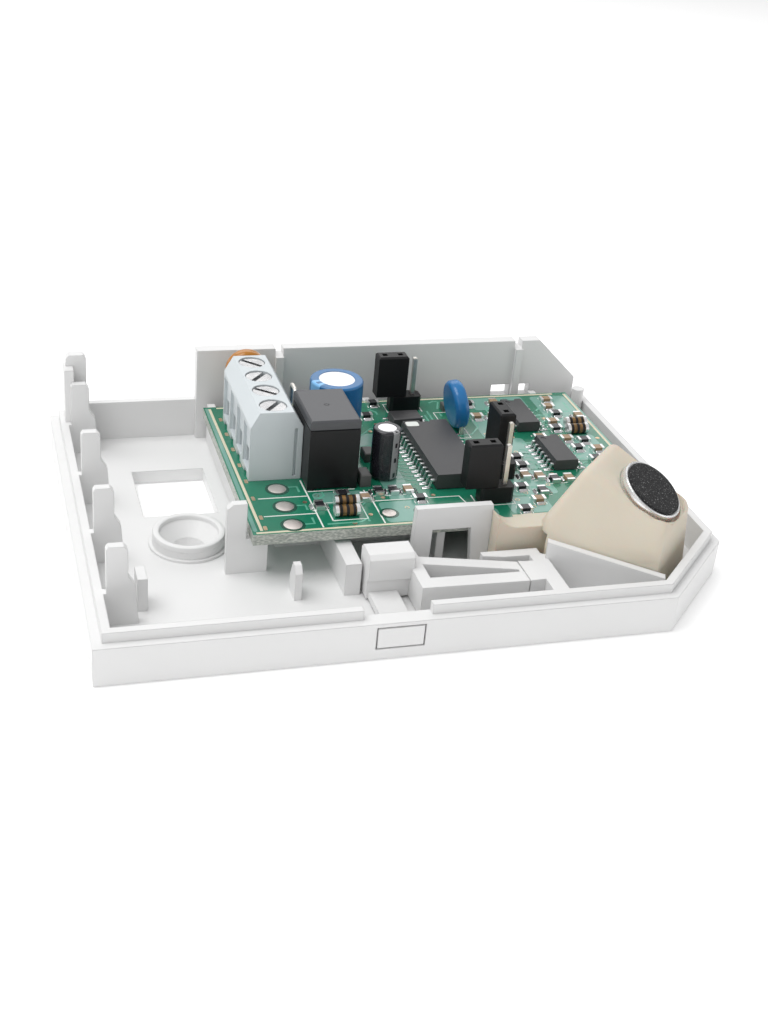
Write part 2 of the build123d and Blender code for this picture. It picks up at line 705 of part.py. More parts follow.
def chip_bodies(places):
    bodies = []
    half = chip_length / 2 - chip_cap_length
    for x, y, turn in places:
        body = block((-half, -chip_width / 2, 0), (half, chip_width / 2, chip_height))
        bodies.append(Pos(x, y, board_top + 0.03) * Rot(0, 0, turn) * body)
    return bodies


def chip_caps(places):
    caps = []
    for x, y, turn in places:
        for side in (-1, 1):
            centre = side * (chip_length - chip_cap_length) / 2
            low = (centre - chip_cap_length / 2, -chip_width / 2, -0.03)
            cap = block(low, (centre + chip_cap_length / 2, chip_width / 2, chip_height + 0.03))
            caps.append(Pos(x, y, board_top + 0.03) * Rot(0, 0, turn) * cap)
    return caps


def melf_parts():
    """Small cylindrical diodes lying along X: glass middles, and metal end caps."""
    middles = []
    ends = []
    half = melf_length / 2
    for x, y in melf_places:
        rest = Pos(x, y, board_top + melf_radius + 0.06) * Rot(0, 90, 0)
        middles.append(rest * Cylinder(melf_radius, melf_length - 1.0))
        for side in (-1, 1):
            ends.append(rest * Pos(0, 0, side * (half - 0.25)) * Cylinder(melf_radius + 0.06, 0.5))
    return middles, ends


def tantalum_bodies():
    bodies = []
    for x, y, turn, height in tantalum_places:
        body = block((-1.3, -0.8, 0), (1.3, 0.8, height))
        body = chamfer(body.faces().sort_by(Axis.Z)[-1].edges(), 0.15)
        bodies.append(Pos(x, y, board_top + 0.02) * Rot(0, 0, turn) * body)
    return bodies


def boot_body():
    """Rubber boot: a wedge that slopes to the cut corner, a slanted front and a flat tongue."""
    section = Plane(origin=(0, 0, 0), x_dir=chamfer_out, z_dir=chamfer_along * -1)
    outline = [(boot_back, floor_thickness), (boot_front, floor_thickness), boot_brow, boot_ridge,
               (boot_overhang, boot_foot_top), (boot_back, boot_foot_top)]
    corners = [section.from_local_coords((u, z, 0)) + chamfer_along * 50.0 for u, z in outline]
    face = make_face(Polyline(*[tuple(corner) for corner in corners], close=True))
    wedge = extrude(face, amount=boot_right - 50.0, dir=chamfer_along)
    front_plane = Plane(origin=(69.2, 15.4, 17.7), z_dir=(-0.386, -0.746, 0.543))
    wedge -= front_plane * Box(80, 80, 40, align=(Align.CENTER, Align.CENTER, Align.MIN))
    rib_plane = Plane(origin=(62.74, 11.4, 0), z_dir=(-0.411, -0.912, 0))
    wedge -= rib_plane * Box(80, 80, 40, align=(Align.CENTER, Align.CENTER, Align.MIN))
    ridge_edges = [edge for edge in wedge.edges() if edge.center().Z > 15.5 and edge.length > 3]
    wedge = fillet(ridge_edges, 1.4)
    tops = [edge for edge in wedge.edges() if 9.3 < edge.center().Z < 15.5 and edge.length > 5]
    wedge = fillet(tops, 0.8)
    tongue = block((56.3, 14.0, floor_thickness), (67.5, 16.6, 11.4))
    tongue += block((57.1, 16.6, floor_thickness), (67.5, 17.6, 11.4))
    tongue -= Pos(59.6, 16, 13.7) * Rot(90, 0, 0) * Cylinder(4.0, 10)
    return wedge + tongue


def mic_boot():
    boot = boot_body()
    boot -= capsule_disc(capsule_radius + 0.02, -8, capsule_depth)
    boot -= capsule_disc(capsule_radius + 0.5, -8, 1.2)
    boot -= capsule_disc(2.4, capsule_depth - 0.1, capsule_depth + 0.8)
    channel = Plane(origin=(0, 0, 0), x_dir=chamfer_out, z_dir=(0, 0, 1))
    middle = (capsule_face[0] + capsule_face[1]) / sqrt(2)
    passage_start = boot_overhang + 1.0
    passage_end = cut_line - 10.0
    passage = block((passage_start, middle - 1.8, board_top - 0.5), (passage_end, middle + 1.8, 10.35))
    return boot - channel * passage


def mic_can():
    """Aluminium can: open at the back, with a sound hole behind the felt."""
    can = capsule_disc(capsule_radius, 0, capsule_depth)
    can -= capsule_disc(capsule_radius - capsule_rim, -1, felt_depth)
    can -= capsule_disc(capsule_radius - 0.3, felt_depth + 0.3, capsule_depth + 1)
    return can - capsule_disc(1.0, -1, 2)


def mic_felt():
    return capsule_disc(capsule_radius - capsule_rim, 0.05, felt_depth)


def mic_diaphragm():
    """Stretched foil on its ring."""
    ring = capsule_disc(capsule_radius - 0.3, 0.75, 1.15) - capsule_disc(3.7, 0.5, 1.05)
    return ring


def mic_backplate():
    return capsule_disc(capsule_radius - 0.3, 1.35, 2.0) - capsule_disc(0.5, 1, 3)


def mic_spacer():
    """Cup that keeps the backplate off the foil and off the amplifier board."""
    ring = capsule_disc(capsule_radius - 0.3, 1.15, 1.35) - capsule_disc(3.7, 1, 2)
    sleeve = capsule_disc(capsule_radius - 0.3, 2.0, 3.9) - capsule_disc(3.7, 1.9, 4)
    return [ring, sleeve]


def mic_amplifier_board():
    return capsule_disc(capsule_radius - 0.3, 3.9, capsule_depth)


def mic_leads():
    """Two wires from the capsule's back, out of the boot's passage and down to the main board."""
    end = Vector(*capsule_face) - capsule_axis * capsule_depth
    leads = []
    for side in (-1, 1):
        start = end + chamfer_along * side * 1.2
        drop = start - capsule_axis * 0.95
        level = Vector(drop.X, drop.Y, 9.75)
        exit_point = level - chamfer_out * (level.dot(chamfer_out) - boot_overhang - 1.45)
        foot = Vector(exit_point.X, exit_point.Y, board_top)
        path = FilletPolyline(tuple(start), tuple(drop), tuple(exit_point), tuple(foot), radius=0.45)
        leads.append(sweep(Plane(origin=path @ 0, z_dir=path % 0) * Circle(0.38), path=path))
    return leads


def save(name, shapes):
    """Write one node, moved so that the origin is at the middle of the tray's back."""
    solids = []
    for shape in shapes if isinstance(shapes, list) else [shapes]:
        solids += shape.solids()
    move = Location((-tray_length / 2, -tray_depth / 2, 0))
    moved = [solid.moved(move) for solid in solids]
    part = moved[0] if len(moved) == 1 else Compound(children=moved)
    part.label = name
    export_step(part, os.path.join("parts", name + ".step"))


os.makedirs("parts", exist_ok=True)

save("base_tray", base_tray())
save("release_latch", release_latch())
save("circuit_board", circuit_board())
save("solder_joints", solder_joints())
save("test_pads", test_pads())
save("terminal_housing", terminal_housing())
save("terminal_contacts", terminal_contacts())
for pole in range(pole_count):
    save("terminal_screw_" + str(pole + 1), terminal_screw(pole))
    save("wire_cage_" + str(pole + 1), wire_cage(pole))
save("relay_case", relay_case())
save("relay_lid", relay_lid())
save("relay_pins", relay_pins())
save("relay_bobbin", relay_bobbin())
save("relay_winding", relay_winding())
save("relay_yoke", relay_yoke())
save("relay_armature", relay_armature())
save("relay_blade", relay_blade())
save("relay_fixed_contacts", relay_fixed_contacts())
save("electrolytic_sleeve", can_sleeve(electrolytic_centre, electrolytic_radius, electrolytic_height, 0.15))
save("electrolytic_can", can_body(electrolytic_centre, electrolytic_radius, electrolytic_height, 0.15))
save("small_capacitor_sleeve", can_sleeve(small_can_centre, small_can_radius, small_can_height, 0.12))
save("small_capacitor_can", can_body(small_can_centre, small_can_radius, small_can_height, 0.12))
capacitor_legs = can_leads(electrolytic_centre, 3.5, True) + can_leads(small_can_centre, 2.0, False)
save("capacitor_leads", capacitor_legs)
lead_places = round_lead_places()
blue_legs = disc_legs(lead_places[4:6], blue_disc_centre, blue_disc_radius)
orange_legs = disc_legs(lead_places[6:8], orange_disc_centre, orange_disc_radius)
blue_disc = disc_part(blue_disc_centre, blue_disc_radius, 1.1, Rot(0, 90 - blue_disc_lean, 0))
orange_disc = disc_part(orange_disc_centre, orange_disc_radius, 1.2, Rot(90, 0, 0))
save("blue_disc_capacitor", blue_disc - blue_legs)
save("orange_disc_varistor", orange_disc - orange_legs)
save("disc_leads", blue_legs + orange_legs)
save("wire_link", standing_lead())
for order, header in enumerate(header_places):
    save("shunt_housing_" + str(order + 1), shunt_housing(header))
    save("shunt_contact_" + str(order + 1), shunt_contact(header))
save("header_bases", [header_base(header) for header in header_places])
save("header_pins", header_pins())
save("wide_ic_body", ic_body(*wide_ic[:4]))
save("wide_ic_leads", ic_leads(*wide_ic))
save("narrow_ic_bodies", [ic_body(*entry[:4]) for entry in narrow_ics])
save("narrow_ic_leads", [lead for entry in narrow_ics for lead in ic_leads(*entry)])
save("chip_resistors", chip_bodies(resistor_places))
save("chip_capacitors", chip_bodies(capacitor_places))
melf_middles, melf_ends = melf_parts()
save("melf_diodes", melf_middles)
save("chip_end_caps", chip_caps(resistor_places + capacitor_places) + melf_ends)
save("tantalum_capacitors", tantalum_bodies())
save("mic_boot", mic_boot())
save("mic_can", mic_can())
save("mic_felt", mic_felt())
save("mic_diaphragm", mic_diaphragm())
save("mic_backplate", mic_backplate())
save("mic_spacer", mic_spacer())
save("mic_amplifier_board", mic_amplifier_board())
save("mic_leads", mic_leads())
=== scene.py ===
import bmesh
import bpy
from math import pi, radians
from mathutils import Matrix, Vector


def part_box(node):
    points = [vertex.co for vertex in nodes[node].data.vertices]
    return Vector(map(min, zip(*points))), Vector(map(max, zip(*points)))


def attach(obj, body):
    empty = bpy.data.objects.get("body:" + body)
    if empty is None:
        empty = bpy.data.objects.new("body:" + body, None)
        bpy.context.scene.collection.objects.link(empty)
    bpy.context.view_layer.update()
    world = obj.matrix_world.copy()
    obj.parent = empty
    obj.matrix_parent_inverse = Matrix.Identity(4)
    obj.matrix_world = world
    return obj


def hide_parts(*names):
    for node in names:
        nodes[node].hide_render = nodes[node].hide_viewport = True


# Glass break sensor with its cover off, lying on its back.
# Lengths in the dictionaries are millimetres from the tray's front left corner:
# X to the microphone, Y to the tall wall, Z up.

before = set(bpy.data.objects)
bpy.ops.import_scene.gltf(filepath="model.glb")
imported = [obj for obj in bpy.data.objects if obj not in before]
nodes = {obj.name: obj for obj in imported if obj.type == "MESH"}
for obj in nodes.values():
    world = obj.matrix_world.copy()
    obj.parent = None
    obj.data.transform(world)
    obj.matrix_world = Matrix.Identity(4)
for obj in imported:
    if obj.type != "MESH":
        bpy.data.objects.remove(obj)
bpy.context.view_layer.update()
mm = 0.001
trayCorner = Vector((-45.5, -32.5, 0.0))
boardTop = 9.0


def spot(x, y, z):
    return (Vector((x, y, z)) + trayCorner) * mm


# modelling helpers
def clearSelection():
    if bpy.context.object and bpy.context.object.mode != "OBJECT":
        bpy.ops.object.mode_set(mode="OBJECT")
    bpy.ops.object.select_all(action="DESELECT")


def editAll():
    bpy.ops.object.mode_set(mode="EDIT")
    bpy.ops.mesh.select_all(action="SELECT")


def endEdit():
    bpy.ops.object.mode_set(mode="OBJECT")


def makeActive(obj):
    clearSelection()
    obj.select_set(True)
    bpy.context.view_layer.objects.active = obj


def applyPlace():
    bpy.ops.object.transform_apply(location=True, rotation=True, scale=True)


def turnFacesOut():
    bpy.ops.mesh.select_all(action="SELECT")
    bpy.ops.mesh.normals_make_consistent(inside=False)


def boxAt(centre, size):
    # centre in metres in the shared frame, size in millimetres
    clearSelection()
    bpy.ops.mesh.primitive_cube_add(size=1, location=centre)
    box = bpy.context.object
    box.scale = [length * mm for length in size]
    applyPlace()
    return box


def startBox(name, low, high):
    middle = [(a + b) / 2 for a, b in zip(low, high)]
    box = boxAt(spot(*middle), [b - a for a, b in zip(low, high)])
    box.name = name
    return box


def pick(obj, kind, test):
    # edit mode with only the faces, edges or verts that pass the test selected
    bpy.ops.object.mode_set(mode="EDIT")
    bpy.ops.mesh.select_mode(type=kind)
    bpy.ops.mesh.select_all(action="DESELECT")
    mesh = bmesh.from_edit_mesh(obj.data)
    items = {"FACE": mesh.faces, "EDGE": mesh.edges, "VERT": mesh.verts}[kind]
    for item in items:
        if test(item):
            item.select_set(True)
    mesh.select_flush_mode()
    bmesh.update_edit_mesh(obj.data)


def middleOf(item):
    points = [v.co for v in item.verts]
    return sum(points, Vector()) / len(points)


def finishShape(obj, angle=35):
    if bpy.context.object.mode != "OBJECT":
        endEdit()
    applyPlace()
    bpy.ops.object.shade_smooth_by_angle(angle=radians(angle))
    return obj


def dress(obj, material, body="sensor"):
    obj.data.materials.clear()
    obj.data.materials.append(material)
    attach(obj, body)
    return obj


def joinAll(pieces, name):
    clearSelection()
    for piece in pieces:
        piece.select_set(True)
    bpy.context.view_layer.objects.active = pieces[0]
    applyPlace()
    bpy.ops.object.join()
    pieces[0].name = name
    return pieces[0]


def stampCopies(master, places, name):
    # the modelled piece is copied to each place, every copy with its own mesh, and joined
    copies = []
    for place in places:
        makeActive(master)
        bpy.ops.object.duplicate(linked=False)
        copy = bpy.context.object
        copy.matrix_world = place
        copies.append(copy)
    bpy.data.objects.remove(master)
    return joinAll(copies, name)


def roundEdges(obj, radius, segments, test, clamp=False):
    pick(obj, "EDGE", test)
    bpy.ops.mesh.bevel(offset=radius * mm, segments=segments, affect="EDGES", clamp_overlap=clamp)
    endEdit()


def softCorners(obj, radius, segments):
    # the upright edges of a flat piece are rounded
    roundEdges(obj, radius, segments, lambda edge: abs(edge.verts[0].co.z - edge.verts[1].co.z) > 1e-6)


def discStack(name, sides, radius, centre, rise, steps, angle):
    # a filled circle is extruded once, then inset and moved up or down for each step
    clearSelection()
    bpy.ops.mesh.primitive_circle_add(vertices=sides, radius=radius * mm, fill_type="NGON",
                                      location=centre)
    disc = bpy.context.object
    disc.name = name
    editAll()
    bpy.ops.mesh.extrude_region_move(TRANSFORM_OT_translate={"value": (0, 0, rise * mm)})
    for inward, up in steps:
        bpy.ops.mesh.inset(thickness=inward * mm)
        bpy.ops.transform.translate(value=(0, 0, up * mm))
    turnFacesOut()
    return finishShape(disc, angle)


def turnedPlace(x, y, z, degrees):
    return Matrix.Translation(spot(x, y, z)) @ Matrix.Rotation(radians(degrees), 4, "Z")


def lineWork(name, look):
    # each route is walked by extruding a point, then given a flat section with soft edges
    height, z = look["height"], boardTop + look["lift"]
    clearSelection()
    bpy.ops.mesh.primitive_plane_add(size=0.001, location=spot(0, 0, z))
    bpy.context.object.name = name
    applyPlace()
    bpy.ops.object.mode_set(mode="EDIT")
    bpy.ops.mesh.select_mode(type="VERT")
    bpy.ops.mesh.select_all(action="SELECT")
    bpy.ops.mesh.delete(type="VERT")
    for route in look["routes"]:
        bpy.ops.mesh.primitive_plane_add(size=0.0005, location=spot(*route[0], z))
        bpy.ops.mesh.merge(type="CENTER")
        for here, there in zip(route, route[1:]):
            step = ((there[0] - here[0]) * mm, (there[1] - here[1]) * mm, 0)
            bpy.ops.mesh.extrude_region_move(TRANSFORM_OT_translate={"value": step})
    endEdit()
    bpy.ops.object.convert(target="CURVE")
    curve = bpy.context.object.data
    curve.twist_mode = "Z_UP"
    curve.bevel_depth = height / 2 * mm
    curve.bevel_resolution = 1
    curve.extrude = (look["width"] - height) / 2 * mm
    curve.use_fill_caps = True
    for spline in curve.splines:
        for point in spline.points:
            point.tilt = pi / 2
    bpy.ops.object.convert(target="MESH")
    line = bpy.context.object
    editAll()
    bpy.ops.mesh.remove_doubles(threshold=1e-7)
    turnFacesOut()
    return finishShape(line)


def looseBlocks(nodeName):
    # low and high corner of each separate solid in a CAD node, in tray millimetres
    mesh = bmesh.new()
    mesh.from_mesh(nodes[nodeName].data)
    bmesh.ops.remove_doubles(mesh, verts=mesh.verts, dist=1e-6)
    left = set(mesh.verts)
    blocks = []
    while left:
        stack = [left.pop()]
        members = []
        while stack:
            vert = stack.pop()
            members.append(vert)
            for edge in vert.link_edges:
                other = edge.other_vert(vert)
                if other in left:
                    left.remove(other)
                    stack.append(other)
        low = Vector(min(v.co[i] for v in members) for i in range(3))
        high = Vector(max(v.co[i] for v in members) for i in range(3))
        blocks.append((low / mm - trayCorner, high / mm - trayCorner))
    mesh.free()
    return sorted(blocks, key=lambda block: tuple(round(c, 3) for c in block[0]))


# shader helpers
def feed(tree, node, label, value):
    # the value is a number, a colour, or the socket that drives the input
    socket = node.inputs[label]
    if isinstance(value, bpy.types.NodeSocket):
        tree.links.new(value, socket)
    else:
        socket.default_value = (*value, 1.0) if socket.type == "RGBA" else value


def addNode(tree, kind, feeds=None, **settings):
    made = tree.nodes.new(kind)
    for label, value in settings.items():
        setattr(made, label, value)
    for label, value in (feeds or {}).items():
        feed(tree, made, label, value)
    return made


def newMaterial(name, **values):
    material = bpy.data.materials.new(name)
    material.use_nodes = True
    tree = material.node_tree
    shader = tree.nodes["Principled BSDF"]
    for label, value in values.items():
        feed(tree, shader, label.replace("_", " "), value)
    return material, tree, shader


def objectPlace(tree):
    return addNode(tree, "ShaderNodeTexCoord").outputs["Object"]


def stretchPlace(tree, place, scale):
    return addNode(tree, "ShaderNodeMapping", {"Vector": place, "Scale": scale}).outputs["Vector"]


def noise(tree, place, scale, **values):
    return addNode(tree, "ShaderNodeTexNoise", {"Vector": place, "Scale": scale, **values}).outputs["Fac"]


def blendColours(tree, factor, first, second):
    feeds = {"Factor": factor, "A": first, "B": second}
    return addNode(tree, "ShaderNodeMix", feeds, data_type="RGBA").outputs["Result"]


def remap(tree, value, given=(0, 1), wanted=(0, 1)):
    feeds = {"Value": value, "From Min": given[0], "From Max": given[1]}
    feeds["To Min"], feeds["To Max"] = wanted
    return addNode(tree, "ShaderNodeMapRange", feeds).outputs["Result"]


def calculate(tree, operation, *values, **settings):
    feeds = dict(enumerate(values))
    return addNode(tree, "ShaderNodeMath", feeds, operation=operation, **settings).outputs["Value"]


def startGroup(name, inputs):
    # every finish puts out a colour, a roughness and a height
    group = bpy.data.node_groups.new(name, "ShaderNodeTree")
    sockets = [(label, "INPUT") for label in (*inputs, "Rough Low", "Rough High")]
    sockets += [(label, "OUTPUT") for label in ("Colour", "Roughness", "Height")]
    for label, side in sockets:
        kind = "NodeSocketColor" if label.endswith("Colour") else "NodeSocketFloat"
        group.interface.new_socket(label, in_out=side, socket_type=kind)
    return group, group.nodes.new("NodeGroupInput").outputs


def closeGroup(group, colours, rough, cloud, fine):
    # the cloud blends the two colours, the fine pattern gives the gloss and the relief
    addNode(group, "NodeGroupOutput", {"Colour": blendColours(group, cloud, *colours),
                                       "Roughness": remap(group, fine, wanted=rough), "Height": fine})
    return group


def buildSkinGroup():
    # moulded or cast skin: large soft tone, fine grain, and an uneven sheen
    group, given = startGroup("mouldedSkin", ("Colour", "Shade Colour", "Tone Scale", "Grain Scale"))
    place = objectPlace(group)
    tone = noise(group, place, given["Tone Scale"], Detail=3)
    grain = noise(group, place, given["Grain Scale"], Detail=4, Roughness=0.62)
    colours = (given["Colour"], given["Shade Colour"])
    return closeGroup(group, colours, (given["Rough Low"], given["Rough High"]), tone, grain)


def buildMetalGroup():
    # rolled or tinned metal: fine streaks with a dull cloud over them
    group, given = startGroup("rolledMetal", ("Colour", "Dull Colour", "Streak Scale"))
    place = objectPlace(group)
    streak = noise(group, stretchPlace(group, place, (1.0, 1.0, 0.18)), given["Streak Scale"], Detail=3)
    colours = (given["Colour"], given["Dull Colour"])
    cloud = noise(group, place, 900)
    return closeGroup(group, colours, (given["Rough Low"], given["Rough High"]), cloud, streak)


skinGroup = buildSkinGroup()
metalGroup = buildMetalGroup()
skinKeys = {"Colour": "colour", "Shade Colour": "shade", "Tone Scale": "tone", "Grain Scale": "grain"}
metalKeys = {"Colour": "colour", "Dull Colour": "dull", "Streak Scale": "streak"}
# values for what a look leaves out
skinBase = {"tone": 500, "grain": 5200, "rough": (0.2, 0.3), "relief": 0.2, "depth": 0.04, "edge": 0,
            "shader": {}}
metalBase = {"streak": 2600, "relief": 0.2, "depth": 0.02, "edge": 0.05}


def closeMaterial(tree, shader, colour, roughness, height, look):
    # colour and gloss, then fine relief over softly rounded edges
    bump = addNode(tree, "ShaderNodeBump", {"Strength": look["relief"], "Distance": look["depth"] * mm,
                                            "Height": height})
    if look["edge"]:
        rounded = addNode(tree, "ShaderNodeBevel", {"Radius": look["edge"] * mm}, samples=4)
        feed(tree, bump, "Normal", rounded.outputs["Normal"])
    feed(tree, shader, "Base Color", colour)
    feed(tree, shader, "Roughness", roughness)
    feed(tree, shader, "Normal", bump.outputs["Normal"])


def finishMaterial(name, look, group, keys, shaderValues):
    material, tree, shader = newMaterial(name, **shaderValues)
    feeds = {label: look[key] for label, key in keys.items()}
    feeds["Rough Low"], feeds["Rough High"] = look["rough"]
    made = addNode(tree, "ShaderNodeGroup", feeds, node_tree=group).outputs
    closeMaterial(tree, shader, made["Colour"], made["Roughness"], made["Height"], look)
    return material


def skinMaterial(name, look):
    look = {**skinBase, **look}
    return finishMaterial(name, look, skinGroup, skinKeys, look["shader"])


def metalMaterial(name, look):
    return finishMaterial(name, {**metalBase, **look}, metalGroup, metalKeys, {"Metallic": 1.0})


def coat(nodeNames, material):
    for name in nodeNames:
        nodes[name].data.materials.clear()
        nodes[name].data.materials.append(material)


# plastics of the tray, latch and terminals
housingLooks = {
    "trayPlastic": ({"colour": (0.76, 0.76, 0.758), "shade": (0.72, 0.72, 0.718), "tone": 60, "grain": 4200,
                     "rough": (0.36, 0.52), "relief": 0.22, "depth": 0.05, "edge": 0.22}, ["base_tray"]),
    "latchPlastic": ({"colour": (0.76, 0.76, 0.757), "shade": (0.72, 0.72, 0.717), "tone": 80, "grain": 4400,
                      "rough": (0.33, 0.48), "depth": 0.05, "edge": 0.2}, ["release_latch"]),
    "terminalPlastic": ({"colour": (0.62, 0.665, 0.685), "shade": (0.57, 0.615, 0.635), "tone": 140,
                         "rough": (0.34, 0.5), "edge": 0.18}, ["terminal_housing"]),
}
skins = {}


def finishSkins(looks):
    for name, (look, covered) in looks.items():
        skins[name] = skinMaterial(name, look)
        coat(covered, skins[name])


finishSkins(housingLooks)
print("tray, latch and terminal plastics done")

# metals
plainMetals = {
    "platedSteel": ({"colour": (0.72, 0.72, 0.72), "dull": (0.36, 0.36, 0.37), "rough": (0.16, 0.36),
                     "relief": 0.6, "depth": 0.06, "edge": 0.14},
                    [f"{part}_{n}" for part in ("terminal_screw", "wire_cage") for n in (1, 2, 3, 4)]),
    "tinnedBrass": ({"colour": (0.72, 0.70, 0.66), "dull": (0.52, 0.50, 0.47), "streak": 4200,
                     "rough": (0.18, 0.4)},
                    ["terminal_contacts", "relay_pins", "relay_fixed_contacts", "shunt_contact_1",
                     "shunt_contact_2", "shunt_contact_3", "relay_blade"]),
    "pinPlating": ({"colour": (0.90, 0.88, 0.84), "dull": (0.72, 0.69, 0.62), "streak": 3000,
                    "rough": (0.30, 0.48), "relief": 0.15},
                   ["header_pins", "disc_leads", "capacitor_leads", "wire_link"]),
    "leadTin": ({"colour": (0.95, 0.95, 0.95), "dull": (0.84, 0.84, 0.85), "streak": 5200,
                 "rough": (0.26, 0.42), "edge": 0.04},
                ["wide_ic_leads", "narrow_ic_leads", "chip_end_caps"]),
    "brightSolder": ({"colour": (0.78, 0.78, 0.79), "dull": (0.55, 0.55, 0.56), "rough": (0.12, 0.4),
                      "relief": 0.5, "depth": 0.06}, ["solder_joints"]),
    "canAluminium": ({"colour": (0.90, 0.90, 0.90), "dull": (0.78, 0.78, 0.79), "streak": 3800,
                      "rough": (0.2, 0.36), "relief": 0.12, "edge": 0.12}, ["mic_can", "mic_backplate"]),
    "softIron": ({"colour": (0.45, 0.44, 0.43), "dull": (0.30, 0.29, 0.28), "rough": (0.3, 0.5)},
                 ["relay_yoke", "relay_armature"]),
    "windingCopper": ({"colour": (0.70, 0.32, 0.16), "dull": (0.52, 0.22, 0.10), "streak": 9000,
                       "rough": (0.2, 0.4), "relief": 0.4, "depth": 0.03, "edge": 0}, ["relay_winding"]),
    "foilNickel": ({"colour": (0.75, 0.74, 0.70), "dull": (0.6, 0.6, 0.57), "streak": 1200,
                    "rough": (0.08, 0.2), "relief": 0.1, "edge": 0}, ["mic_diaphragm"]),
    "canSilver": ({"colour": (0.93, 0.93, 0.94), "dull": (0.86, 0.86, 0.88), "rough": (0.32, 0.5),
                   "relief": 0.1, "edge": 0.1}, ["electrolytic_can", "small_capacitor_can"]),
    "bareCopper": ({"colour": (0.86, 0.66, 0.48), "dull": (0.66, 0.44, 0.28), "streak": 3000,
                    "rough": (0.25, 0.45), "depth": 0.01, "edge": 0.0}, []),
    "padCream": ({"colour": (0.90, 0.84, 0.76), "dull": (0.80, 0.72, 0.62), "streak": 3000,
                  "rough": (0.3, 0.5), "depth": 0.01, "edge": 0.0}, ["test_pads"]),
    "padTin": ({"colour": (0.95, 0.88, 0.84), "dull": (0.84, 0.76, 0.72), "rough": (0.35, 0.55),
                "relief": 0.3, "depth": 0.04, "edge": 0.0}, []),
}
metals = {}
for metalName, (look, covered) in plainMetals.items():
    metals[metalName] = metalMaterial(metalName, look)
    coat(covered, metals[metalName])
print("metals done")

# black and coloured parts
partLooks = {
    "relayBlack": ({"colour": (0.007, 0.007, 0.008), "shade": (0.004, 0.004, 0.005), "tone": 200,
                    "rough": (0.28, 0.44), "relief": 0.18, "edge": 0.15,
                    "shader": {"Specular_IOR_Level": 0.36}}, ["relay_case"]),
    # the relay's lid gets a grey lighter than the case's black: painted sheen standing in for the reflection
    # that lightens the relay's top
    "relayLidPaintedSheen": ({"colour": (0.050, 0.052, 0.059), "shade": (0.042, 0.044, 0.050), "tone": 160,
                      "rough": (0.32, 0.46), "edge": 0.15, "shader": {"Specular_IOR_Level": 0.85}},
                     ["relay_lid"]),
    "bobbinPlastic": ({"colour": (0.30, 0.28, 0.22), "shade": (0.24, 0.22, 0.18), "tone": 200,
                       "grain": 4200, "rough": (0.4, 0.6)}, ["relay_bobbin", "mic_spacer"]),
    "headerBlack": ({"colour": (0.006, 0.006, 0.007), "shade": (0.010, 0.010, 0.011), "tone": 300,
                     "grain": 4600, "rough": (0.32, 0.5), "relief": 0.25, "edge": 0.1,
                     "shader": {"Specular_IOR_Level": 0.32}},
                    ["header_bases", "shunt_housing_1", "shunt_housing_2", "shunt_housing_3"]),
    "packageBlack": ({"colour": (0.022, 0.022, 0.024), "shade": (0.032, 0.032, 0.034), "tone": 260,
                      "grain": 6500, "rough": (0.42, 0.60), "relief": 0.35, "depth": 0.05, "edge": 0.08,
                      "shader": {"Specular_IOR_Level": 0.95}}, ["wide_ic_body", "narrow_ic_bodies"]),
    "resistorBlack": ({"colour": (0.012, 0.012, 0.014), "shade": (0.030, 0.030, 0.036), "tone": 900,
                       "grain": 6000, "rough": (0.15, 0.32), "depth": 0.02, "edge": 0.05},
                      ["chip_resistors"]),
    "capacitorTan": ({"colour": (0.30, 0.20, 0.12), "shade": (0.36, 0.25, 0.15), "tone": 700, "grain": 6000,
                      "rough": (0.3, 0.46), "depth": 0.02, "edge": 0.05}, ["chip_capacitors"]),
    "diodeAmber": ({"colour": (0.008, 0.005, 0.003), "shade": (0.34, 0.19, 0.06), "tone": 1100,
                    "grain": 5000, "rough": (0.08, 0.16), "relief": 0.1, "depth": 0.02, "edge": 0.04},
                   ["melf_diodes"]),
    "tantalumGrey": ({"colour": (0.07, 0.07, 0.07), "shade": (0.11, 0.11, 0.105), "rough": (0.36, 0.5),
                      "depth": 0.03, "edge": 0.06}, ["tantalum_capacitors"]),
    "discBlue": ({"colour": (0.012, 0.125, 0.33), "shade": (0.020, 0.18, 0.43), "grain": 1500,
                  "rough": (0.12, 0.26), "relief": 0.35, "depth": 0.10}, ["blue_disc_capacitor"]),
    "discOrange": ({"colour": (0.36, 0.125, 0.012), "shade": (0.46, 0.20, 0.030), "grain": 1500,
                    "rough": (0.12, 0.26), "relief": 0.3, "depth": 0.08}, ["orange_disc_varistor"]),
    "bootRubber": ({"colour": (0.64, 0.585, 0.49), "shade": (0.57, 0.515, 0.415), "tone": 130, "grain": 2600,
                    "rough": (0.5, 0.68), "relief": 0.35, "depth": 0.07, "edge": 0.35,
                    "shader": {"Subsurface_Weight": 0.25, "Subsurface_Scale": 0.003}}, ["mic_boot"]),
    "feltGrey": ({"colour": (0.004, 0.004, 0.005), "shade": (0.042, 0.042, 0.043), "tone": 3400,
                  "grain": 4200, "rough": (0.85, 1.0), "relief": 1.0, "depth": 0.25,
                  "shader": {"Sheen_Weight": 0.05, "Sheen_Roughness": 0.5, "Specular_IOR_Level": 0.2}},
                 ["mic_felt"]),
    "wireSleeve": ({"colour": (0.02, 0.02, 0.02), "shade": (0.03, 0.03, 0.03), "tone": 400, "grain": 4200,
                    "rough": (0.4, 0.55), "depth": 0.03}, ["mic_leads"]),
    "amplifierGreen": ({"colour": (0.03, 0.20, 0.11), "shade": (0.02, 0.15, 0.09), "tone": 400,
                        "grain": 4200, "rough": (0.3, 0.45), "depth": 0.03}, ["mic_amplifier_board"]),
}
finishSkins(partLooks)


